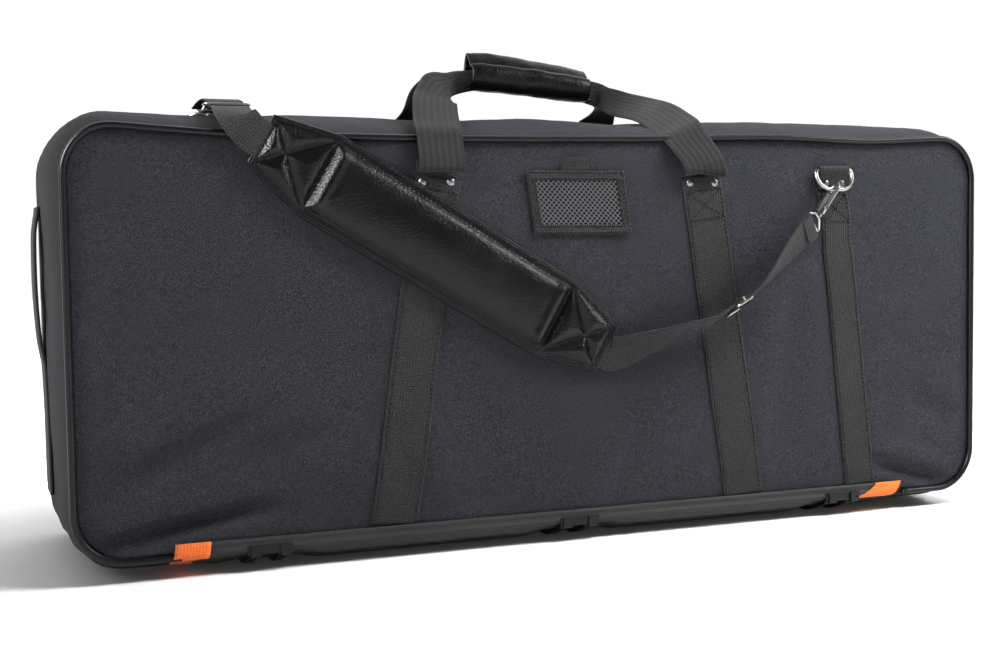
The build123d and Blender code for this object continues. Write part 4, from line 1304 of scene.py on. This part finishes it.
def end_handles():
    """Webbing handles sewn on both ends."""
    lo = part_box("end_handles")[0]
    parts = []
    for side in (-1, 1):
        rows = []
        for out, z in (
            (0.0006, 0.368), (0.0012, 0.362), (0.0030, 0.352), (0.0050, 0.334), (0.0062, 0.284),
            (0.0050, 0.236), (0.0026, 0.214), (0.0012, 0.202), (0.0010, 0.150), (0.0010, lo.z),
        ):
            near = HALF_W + 0.0192 * float(side_slack(z)) + 0.0010
            rows.append((side * (near + out), CASE_Y, z, 0, 1, 0))
        parts.append(webbing("end_handle_part", rows, STRAP_W, WEB, thick=0.0034))
    place(join("end_handle_webbing", parts), "case", "webbing", "end_handles")


# ------------------------------------------------------------------ shoulder strap
PAD_LO, PAD_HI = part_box("pad_cover")
PAD_MID = np.array([(PAD_LO.x + PAD_HI.x) / 2, 0, (PAD_LO.z + PAD_HI.z) / 2])
PAD_TILT = math.radians(30.7)
PAD_L, PAD_W, PAD_END_W, PAD_TAPER = 0.430, 0.090, 0.054, 0.068
PAD_BACK_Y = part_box("pad_backing")[1].y


def pad_half_width(u):
    """Half the pad's width: parallel in the middle, tapered at both ends."""
    flat = PAD_L / 2 - PAD_TAPER
    t = np.clip((np.abs(u) - flat) / PAD_TAPER, 0, 1)
    return PAD_W / 2 + (PAD_END_W - PAD_W) / 2 * t


def pad_world(u, v, w):
    """Pad coordinates (along, across, out of the face) to the row frame."""
    c, s = math.cos(PAD_TILT), math.sin(PAD_TILT)
    return np.stack([PAD_MID[0] + u * c + v * s, PAD_BACK_Y - w, PAD_MID[2] - u * s + v * c], axis=-1)


def segment_gap(u, v, a, b):
    """Distance from points to a segment."""
    a, b = np.array(a), np.array(b)
    d = b - a
    t = np.clip(((u - a[0]) * d[0] + (v - a[1]) * d[1]) / (d @ d), 0, 1)
    return np.hypot(u - a[0] - d[0] * t, v - a[1] - d[1] * t)


def pad_seams():
    """The pad's sewn lines, in pad coordinates: border, cross seams and the crosses at both ends."""
    border, rim = 0.0080, 0.0040
    flat, end = PAD_L / 2 - PAD_TAPER, PAD_L / 2 - rim
    wide, narrow = PAD_W / 2 - border, PAD_END_W / 2 - rim + 0.001
    lines = []
    for s in (-1, 1):
        lines.append(((-flat, s * wide), (flat, s * wide)))
        for e in (-1, 1):
            lines.append(((e * (flat + 0.003), s * (wide + 0.003)), (e * end, s * narrow)))
            lines.append(((e * (flat + 0.002), s * (wide + 0.002)), (e * end, -s * narrow)))
    for e in (-1, 1):
        lines.append(((e * end, -narrow), (e * end, narrow)))
        lines.append(((e * flat, -wide), (e * flat, wide)))
    return lines


def pad_height(u, v):
    """Height of the cover: a flat sewn border, a plump middle and four plump wedges at each end."""
    gap = np.full(u.shape, 1.0)
    for a, b in pad_seams():
        gap = np.minimum(gap, segment_gap(u, v, a, b))
    edge = np.minimum(pad_half_width(u) - np.abs(v), PAD_L / 2 - np.abs(u))
    flat = PAD_L / 2 - PAD_TAPER
    middle = np.abs(u) < flat
    start = np.where(middle, 0.0078, 0.0042)
    inner = ease((edge - start) / 0.002, 0.0, 1.0)
    plump = np.where(middle, 0.0078, 0.0066) * (1 - np.exp(-((gap / 0.0060) ** 1.3)))
    ridge = 0.0026 * np.exp(-(((flat - np.abs(u) - 0.0095) / 0.0060) ** 2)) * middle
    rim = 0.0030 * np.clip(edge / 0.0018, 0, 1) ** 0.5
    grain = noise_at(np.stack([u, v * 1.6, np.zeros_like(u)], axis=-1), 42.0, 4.0) * 0.00045
    pucker = np.sin(u * 1150 + v * 640) * 0.00032 * np.exp(-gap / 0.0042)
    crease = noise_at(np.stack([u * 3, v * 3, u * 0], axis=-1), 60.0, 9.0) * 0.0004 * np.exp(-gap / 0.008)
    height = 0.0020 + rim + (plump + ridge + grain + crease) * inner + pucker * ease(edge, 0.002, 0.006)
    return np.minimum(height, 0.0160), gap, edge


def pad_grid(columns, rows):
    """A grid over the pad: its two axes and its points."""
    us = np.linspace(-PAD_L / 2, PAD_L / 2, columns)
    ts = np.linspace(-1, 1, rows)
    u, t = np.meshgrid(us, ts)
    return us, ts, u, t * pad_half_width(u)


def shoulder_pad():
    """The pad: its cover, swollen between the seams by cloth pressure, its back and its stitches."""
    us, ts, u, v = pad_grid(287, 67)
    top = pad_world(u, v, pad_height(u, v)[0])
    top = top + swell_cloth(u, ts)
    cover = sheet_piece("pad_cover_leather", top, us, ts * PAD_W / 2, 0.0012, LEATHER, FRONTWARD)
    place(cover, "case", "leatherette", "pad_cover", "pad_foam", fill=0.8)
    pad_back()
    pad_stitches()


def pad_back():
    """The pad's backing cloth and the rolled edge round it."""
    us, ts, u, v = pad_grid(145, 33)
    base = pad_world(u, v, np.full(u.shape, 0.0016))
    side = sheet_piece("pad_back_cloth", base, us, ts * PAD_W / 2, 0.0014, BACKING, FRONTWARD)
    place(side, "case", "webbing", "pad_backing")
    rim_u = np.concatenate([us, np.full(32, us[-1]), us[::-1], np.full(32, us[0])])
    rim_t = np.concatenate([np.full(145, -1.0), ts[1:], np.full(145, 1.0), ts[::-1][1:]])
    rim_v = rim_t * pad_half_width(rim_u)
    path = pad_world(rim_u * 0.9985, rim_v * 0.985, np.full(len(rim_u), 0.0030))
    keep = np.concatenate([[True], np.linalg.norm(np.diff(path, axis=0), axis=1) > 1e-5])
    edge_roll = tube("pad_edge_roll", path[keep][:-1], 0.0021, LEATHER, sides=10, closed=True)
    place(edge_roll, "case", "leatherette")


def pad_stitches():
    """Stitches along the pad's seams and near its edge."""
    inset = 0.0030
    flat, end = PAD_L / 2 - PAD_TAPER, PAD_L / 2 - inset
    wide, narrow = PAD_W / 2 - inset, PAD_END_W / 2 - inset + 0.001
    runs, border = [], []
    for s in (-1, 1):
        border.append(((-flat, s * wide), (flat, s * wide)))
        for e in (-1, 1):
            border.append(((e * flat, s * wide), (e * end, s * narrow)))
            border.append(((e * end, 0), (e * end, s * narrow)))
    for a, b in pad_seams() + border:
        lu, lv = np.linspace(a[0], b[0], 60), np.linspace(a[1], b[1], 60)
        h = pad_height(lu, lv)[0] + 0.0003
        runs.append((pad_world(lu, lv, h), FRONTWARD))
    thread = stitches("pad_stitches", runs, length=0.0034, gap=0.0016, radius=0.00042)
    place(thread, "case", "leatherette")


def swell_cloth(fine_u, fine_t):
    """How far cloth pressure moves the cover between its pinned seams, on the fine grid."""
    us, ts, u, v = pad_grid(145, 33)
    height, gap, edge = pad_height(u, v)
    grid = pad_world(u, v, height)
    obj = sheet_piece("pad_cloth", grid, us, ts, 0.0012, LEATHER, FRONTWARD)
    pins = obj.vertex_groups.new(name="pins")
    held = np.where(edge.ravel() < 0.0085, 1.0, np.exp(-gap.ravel() / 0.003))
    for i, w in enumerate(held):
        pins.add([i], float(max(w, 0.02)), "REPLACE")
    pins.add(list(range(gap.size, len(obj.data.vertices))), 1.0, "REPLACE")
    before = np.array([vert.co for vert in obj.data.vertices])
    cloth = obj.modifiers.new("swell", "CLOTH")
    rules = cloth.settings
    rules.vertex_group_mass = "pins"
    rules.use_pressure = True
    rules.uniform_pressure_force = 4.0
    rules.effector_weights.gravity = 0.0
    rules.tension_stiffness = 12
    rules.bending_stiffness = 0.6
    rules.quality = 5
    scene = bpy.context.scene
    for f in range(1, 16):
        scene.frame_set(f)
    bpy.context.view_layer.objects.active = obj
    bpy.ops.object.modifier_apply(modifier=cloth.name)
    scene.frame_set(1)
    after = np.array([vert.co for vert in obj.data.vertices])
    bpy.data.objects.remove(obj)
    move = after - before
    size = np.linalg.norm(move, axis=1, keepdims=True)
    move = (move * np.minimum(1.0, 0.0025 / np.maximum(size, 1e-9)))[: gap.size].reshape(grid.shape)
    fine = np.zeros((len(fine_t), fine_u.shape[1], 3))
    for k in range(3):
        rows = np.array([np.interp(fine_u[0], us, move[i, :, k]) for i in range(len(ts))])
        fine[..., k] = np.array([np.interp(fine_t, ts, rows[:, j]) for j in range(rows.shape[1])]).T
    return fine


# The sliders: middle, direction along the strap and tilt of the strap, as in the frame.
REAR_GLIDE = (np.array([-0.3612, CASE_Y - 0.0960, 0.46516]), np.array([5.0, 78.0, 1.7]), 0.0)
FRONT_GLIDE = (np.array([0.1865, CASE_Y - 0.1735, 0.2525]), np.array([53.0, 0.0, 28.0]), 68.0)
STRAP_W2 = 0.038
# Middle of the front swivel eye's collar, 30 mm along the pull from the hook's bend.
FRONT_EYE_BALL = np.array([0.322, CASE_Y - 0.162, 0.381]) + unit(np.array([-0.62, -0.05, -0.78])) * 0.0330


def glide_axes(glide):
    """Directions along the strap, across it and out of it at a slider."""
    ahead, tilt = unit(glide[1]), glide[2]
    if tilt:
        flat = np.array([-ahead[2], 0, ahead[0]])
        a = math.radians(tilt)
        across = flat * math.cos(a) + FRONTWARD * math.sin(a)
        out = np.cross(ahead, across)
    else:
        across = np.array([1.0, 0, 0])
        out = np.cross(across, ahead)
    return ahead, unit(across), unit(out if out[1] < 0 or out[2] > 0.5 else -out)


def slider_frames():
    """Wire sliders: a rounded frame over the webbing and a centre bar under it."""
    half_l, half_w, lift = 0.0102, 0.0222, 0.0029
    for end, glide in (("rear", REAR_GLIDE), ("front", FRONT_GLIDE)):
        name = "tri_glide_" + end
        ahead, across, out = glide_axes(glide)
        path = []
        for a, b in rounded_ring(half_l, half_w, 0.0034, 8):
            path.append(glide[0] + ahead * a + across * b + out * lift)
        frame_wire = tube(name + "_frame", path, 0.0015, NICKEL, sides=12, closed=True)
        half_bar = ((half_w, lift), (half_w, -0.0005), (0.0205, -0.0028))
        bar = [glide[0] - across * b + out * h for b, h in half_bar]
        bar += [glide[0] + across * b + out * h for b, h in half_bar[::-1]]
        centre_bar = tube(name + "_bar", spline(bar, 0.0015)[0], 0.0013, NICKEL, sides=10)
        place(join(name + "_wire", [frame_wire, centre_bar]), end + "_glide", "nickel", name)


def strap_runs():
    """The shoulder strap's two runs of webbing."""
    across_pad = np.array([math.sin(PAD_TILT), 0, math.cos(PAD_TILT)])
    front_run(across_pad)
    rear_run(across_pad)


def pad_spot(u, w):
    """A point on the pad's middle line, w out of the face, in the row frame."""
    return pad_world(np.array([u]), np.array([0.0]), np.array([w]))[0]


def front_run(across_pad):
    """From the pad through the front slider to the front hook, with the turned end at the eye."""
    pull = unit(np.array([-0.62, -0.05, -0.78]))
    eye = FRONT_EYE_BALL + pull * 0.0195
    tilts = np.array([
        (*pad_spot(PAD_L / 2 - 0.006, 0.0035), 0), (*pad_spot(PAD_L / 2 + 0.012, 0.0040), 8),
        (0.0900, CASE_Y - 0.1640, 0.2165, 44), (0.1180, CASE_Y - 0.1720, 0.2290, 68),
        (0.1530, CASE_Y - 0.1735, 0.2348, 68), (0.1640, CASE_Y - 0.1735, 0.24061, 68),
        (*FRONT_GLIDE[0], 68), (0.2080, CASE_Y - 0.1735, 0.2639, 68),
        (0.2340, CASE_Y - 0.1720, 0.2880, 54), (0.2610, CASE_Y - 0.1690, 0.3150, 37), (*eye, 27),
    ])
    ahead = unit(np.gradient(tilts[:, :3], axis=0))
    rows = []
    for i, (x, y, z, tilt) in enumerate(tilts):
        flat = across_pad if i < 2 else unit([-ahead[i, 2], 0, ahead[i, 0]])
        a = math.radians(tilt)
        rows.append((x, y, z, *(flat * math.cos(a) + FRONTWARD * math.sin(a))))
    strap = webbing("strap_front_webbing", rows, STRAP_W2, WEB, step=0.0022)
    to_eye, across = unit(ahead[-1]), np.array(rows[-1][3:6])
    front = unit(np.cross(across, to_eye))
    front = front if front[1] < 0 else -front
    fold = (
        (-0.014, 0.0016), (-0.004, 0.0024), (0.0014, 0.0022), (0.0026, 0.0),
        (0.0014, -0.0022), (-0.004, -0.0024), (-0.020, -0.0014),
    )
    turn = [(*(eye + to_eye * along + front * lift), *across) for along, lift in fold]
    end_turn = webbing("strap_front_turn", turn, STRAP_W2 - 0.001, WEB, step=0.0012, thick=0.0015)
    place(end_turn, "front_ring", "webbing")
    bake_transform(strap)
    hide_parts("strap_front_run")


def rear_run(across_pad):
    """From the pad over the top edge and through the rear slider to the rear ring, and its tail."""
    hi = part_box("strap_rear_run")[1]
    rows = [
        (*pad_spot(-PAD_L / 2 + 0.006, 0.0040), *across_pad),
        (*pad_spot(-PAD_L / 2 - 0.010, 0.0045), *across_pad),
        (-0.3570, FRONT_Y - 0.0088, 0.4440, 0.78, 0, 0.62),
        (-0.3615, FRONT_Y - 0.0055, 0.4500, 0.94, 0, 0.33),
        (-0.3635, FRONT_Y + 0.0060, 0.4560, 1.0, 0, 0.12),
        (-0.3625, FRONT_Y + 0.0240, 0.4620, 1, 0, 0.03),
        (-0.3618, CASE_Y - 0.1080, 0.4649, 1, 0, 0),
        (*REAR_GLIDE[0], 1, 0, 0),
        (-0.3604, CASE_Y - 0.0820, 0.46550, 1, 0, 0),
        (-0.3590, CASE_Y - 0.0600, 0.4660, 1, 0, 0),
        (-0.3570, CASE_Y - 0.0300, 0.4668, 1, 0, 0),
        (-0.3535, hi.y - 0.006, hi.z - 0.0022, 1, 0, 0),
        (-0.3530, hi.y + 0.0045, hi.z + 0.0012, 1, 0, 0),
    ]
    strap = webbing("strap_rear_webbing", rows, STRAP_W2, WEB, step=0.0022)
    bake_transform(strap)
    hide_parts("strap_rear_run")
    rows = [
        (-0.3604, CASE_Y - 0.0880, 0.4708, 1, 0, 0), (-0.3608, CASE_Y - 0.0790, 0.4738, 1, 0, 0),
        (-0.3618, CASE_Y - 0.0620, 0.4766, 1, 0.02, 0), (-0.3632, CASE_Y - 0.0400, 0.4756, 1, 0.05, 0),
        (-0.3650, CASE_Y - 0.0180, 0.4715, 1, 0.08, 0),
    ]
    place(webbing("strap_tail_webbing", rows, STRAP_W2, WEB, step=0.003), "case", "webbing")


# ------------------------------------------------------------------ stitching on the case
SEAM_FOOT = LOW_Z + 0.018  # lower end of the stitching on the straps


def strap_point(side, z, offset):
    """A point on a front handle strap, offset across it."""
    return (side * strap_x(z) + offset, 0, z + side * offset * STRAP_SLOPE)


def case_stitches():
    """Stitching on the handle straps, the D-ring strap and the pocket."""
    runs = handle_seams() + ring_strap_seams() + pocket_seams()
    thread = stitches("case_stitches", runs, length=0.0036, gap=0.0012, radius=0.00062)
    place(thread, "case", "webbing")


def face_seam(spots):
    """A row of stitches over webbing on the front face."""
    return drop_on_face(np.array(spots), 0.00235), FRONTWARD


def handle_seams():
    """Two rows down each handle strap, and a box with a cross under its rivets."""
    edge = 0.0215
    top, low = RIVET_Z - 0.008, RIVET_Z - 0.040
    seams = [(SEAM_FOOT, top, -edge, -edge, 90), (SEAM_FOOT, top, edge, edge, 90)]
    seams += [(top, top, -edge, edge, 40), (low, low, -edge, edge, 40)]
    seams += [(top, low, -edge, edge, 40), (top, low, edge, -edge, 40)]
    runs = []
    for side in (-1, 1):
        for z0, z1, o0, o1, count in seams:
            ts = np.linspace(0, 1, count)
            runs.append(face_seam([strap_point(side, z0 + (z1 - z0) * t, o0 + (o1 - o0) * t) for t in ts]))
    return runs


def ring_strap_seams():
    """Two rows down the D-ring strap, and a box with a cross under the ring."""
    edge = 0.0170
    lo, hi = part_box("d_ring_front")
    cx = (lo.x + hi.x) / 2
    slope = (RING_FOOT_X - cx) / (hi.z - SEAM_FOOT)

    def spot(z, offset):
        return (cx + slope * (hi.z - z) + offset, 0, z)

    runs = []
    for o in (-edge, edge):
        runs.append(face_seam([spot(z, o) for z in np.linspace(SEAM_FOOT, hi.z - 0.028, 80)]))
    top, low = hi.z - 0.030, hi.z - 0.062
    for z0, z1, count in ((top, low, 20), (low, top, 20), (top, top, 10), (low, low, 10)):
        ts = np.linspace(0, 1, count)
        runs.append(face_seam([spot(z0 + (z1 - z0) * t, -edge + 2 * edge * t) for t in ts]))
    return runs


def pocket_seams():
    """Two rows round the pocket's binding."""
    lo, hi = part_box("id_pocket")
    y = float(face_depth(0.0, (lo.z + hi.z) / 2)) - 0.0037
    runs = []
    for inset in (0.0020, 0.0085):
        x0, x1, z0, z1 = lo.x + inset, hi.x - inset, lo.z + inset, hi.z - inset
        ring = [(x0, y, z0), (x1, y, z0), (x1, y, z1), (x0, y, z1), (x0, y, z0)]
        for a, b in zip(ring, ring[1:]):
            runs.append((pocket_lean(np.linspace(a, b, 20)), FRONTWARD))
    return runs


# ------------------------------------------------------------------ CAD pieces that stay
def dress_cad():
    """Materials of the CAD pieces that stay as they are."""
    hardware = [name for name in nodes if name.startswith(("d_ring_", "zip_slider_", "zip_pull_"))]
    hardware += [side + part for side in ("front_", "rear_") for part in ("hook", "gate", "eye")]
    looks = {name: NICKEL for name in hardware}
    looks.update({"skid_runners": RUNNER, "tie_straps": WEB, "id_card": CARD})
    for name, mat in looks.items():
        nodes[name].data.materials.clear()
        nodes[name].data.materials.append(mat)


# ------------------------------------------------------------------ studio and camera
def area_light(name, spot, target, size, power):
    """A rectangular light at a spot, aimed at a target."""
    data = bpy.data.lights.new(name, "AREA")
    data.shape = "RECTANGLE"
    data.size, data.size_y = size
    data.energy = power
    obj = bpy.data.objects.new(name, data)
    bpy.context.scene.collection.objects.link(obj)
    obj.location = spot
    obj.rotation_euler = (Vector(target) - Vector(spot)).to_track_quat("-Z", "Y").to_euler()
    return obj


def rise(tree, value, start, full, low, high):
    """A smooth rise from low to high while value goes from start to full."""
    node = add(tree, "ShaderNodeMapRange", interpolation_type="SMOOTHSTEP")
    for key, number in zip(("From Min", "From Max", "To Min", "To Max"), (start, full, low, high)):
        node.inputs[key].default_value = number
    tree.links.new(value, node.inputs["Value"])
    return node.outputs["Result"]


def room():
    """White light from all round, bright behind the case and dark in front of it."""
    world = bpy.data.worlds.new("studio")
    world.use_nodes = True
    tree = world.node_tree
    coords = tree.nodes.new("ShaderNodeTexCoord")
    split = tree.nodes.new("ShaderNodeSeparateXYZ")
    tree.links.new(coords.outputs["Generated"], split.inputs[0])
    back = tree.nodes["Background"]
    back.inputs[0].default_value = (1.0, 1.0, 1.0, 1)
    tree.links.new(rise(tree, split.outputs[1], -0.20, 0.50, 0.02, 1.02), back.inputs[1])
    bpy.context.scene.world = world


def pale_floor():
    """A plain floor with painted light: it glows a little away from the case, so that it fades into the
    background and the case's soft shadow is washed out away from it.
    """
    mat = plastic("pale_floor", (0.86, 0.86, 0.86), (0.90, 0.90, 0.90), rough=0.9, grain=20.0, strength=0.0)
    tree = mat.node_tree
    spot = tree.nodes.new("ShaderNodeTexCoord")
    oval = add(tree, "ShaderNodeMapping", Scale=(1.0, 1.6, 0.0))
    tree.links.new(spot.outputs["Object"], oval.inputs["Vector"])
    far = add(tree, "ShaderNodeVectorMath", operation="LENGTH")
    tree.links.new(oval.outputs["Vector"], far.inputs[0])
    shader = tree.nodes["Principled BSDF"]
    shader.inputs["Emission Color"].default_value = (1.0, 1.0, 1.0, 1)
    # painted light: the floor's emission is low near the case and rises with distance, lightening the
    # case's cast shadow
    painted_glow = rise(tree, far.outputs["Value"], 0.50, 1.05, 0.02, 0.8)
    tree.links.new(painted_glow, shader.inputs["Emission Strength"])
    size = 9.0
    verts = [(-size, -size, 0), (size, -size, 0), (size, size, 0), (-size, size, 0)]
    piece("floor", verts, [(0, 1, 2, 3)], None, mat, smooth=False)


def studio():
    """The room, the floor and the lights: the key comes from the right and the wash from above."""
    bpy.context.scene.view_settings.view_transform = "Standard"
    room()
    pale_floor()
    area_light("key", (2.0, -0.95, 1.75), (0.25, FRONT_Y, 0.28), (0.9, 0.9), 56)
    wash = area_light("wash", (0.55, -0.55, 1.15), (0.35, FRONT_Y, 0.35), (0.8, 0.4), 26)
    top = area_light("top", (0.1, 0.15, 2.3), (0, 0, 0.2), (2.6, 0.9), 4)
    area_light("left", (-2.5, -1.2, 1.3), (-0.3, 0, 0.25), (0.7, 1.0), 1)
    gleam = area_light("gleam", (-2.3, -0.9, 1.5), (-0.3, 0, 0.3), (0.8, 1.2), 190)
    front = area_light("front", (-0.9, -3.4, 1.6), (0, 0, 0.2), (2.0, 1.0), 3)
    area_light("back", (0.4, 2.6, 2.2), (0, 0, 0.3), (3.0, 1.2), 16)
    for light in (top, wash, front):
        light.visible_glossy = False
    gleam.visible_diffuse = False


def camera():
    """The photograph's viewpoint."""
    data = bpy.data.cameras.new("camera")
    data.sensor_width = 36.0
    data.lens = 50.4
    obj = bpy.data.objects.new("camera", data)
    bpy.context.scene.collection.objects.link(obj)
    obj.location = (-0.625, FRONT_Y - 1.377, 0.318)
    turn = Matrix.Identity(4)
    for angle, axis in ((-21.29, "Z"), (90 - 3.44, "X"), (-0.85, "Z")):
        turn = turn @ Matrix.Rotation(math.radians(angle), 4, axis)
    obj.rotation_euler = turn.to_euler()
    bpy.context.scene.camera = obj


camera()
studio()
front_face()
gusset_shell()
base_shell()
pipings()
lid()
zip_parts()
hinge_strip()
inside()
sewn_straps()
risers()
grip()
rivet_domes()
slider_frames()
id_pocket()
ring_strap()
rear_tab()
orange_trim()
end_handles()
shoulder_pad()
strap_runs()
case_stitches()
dress_cad()
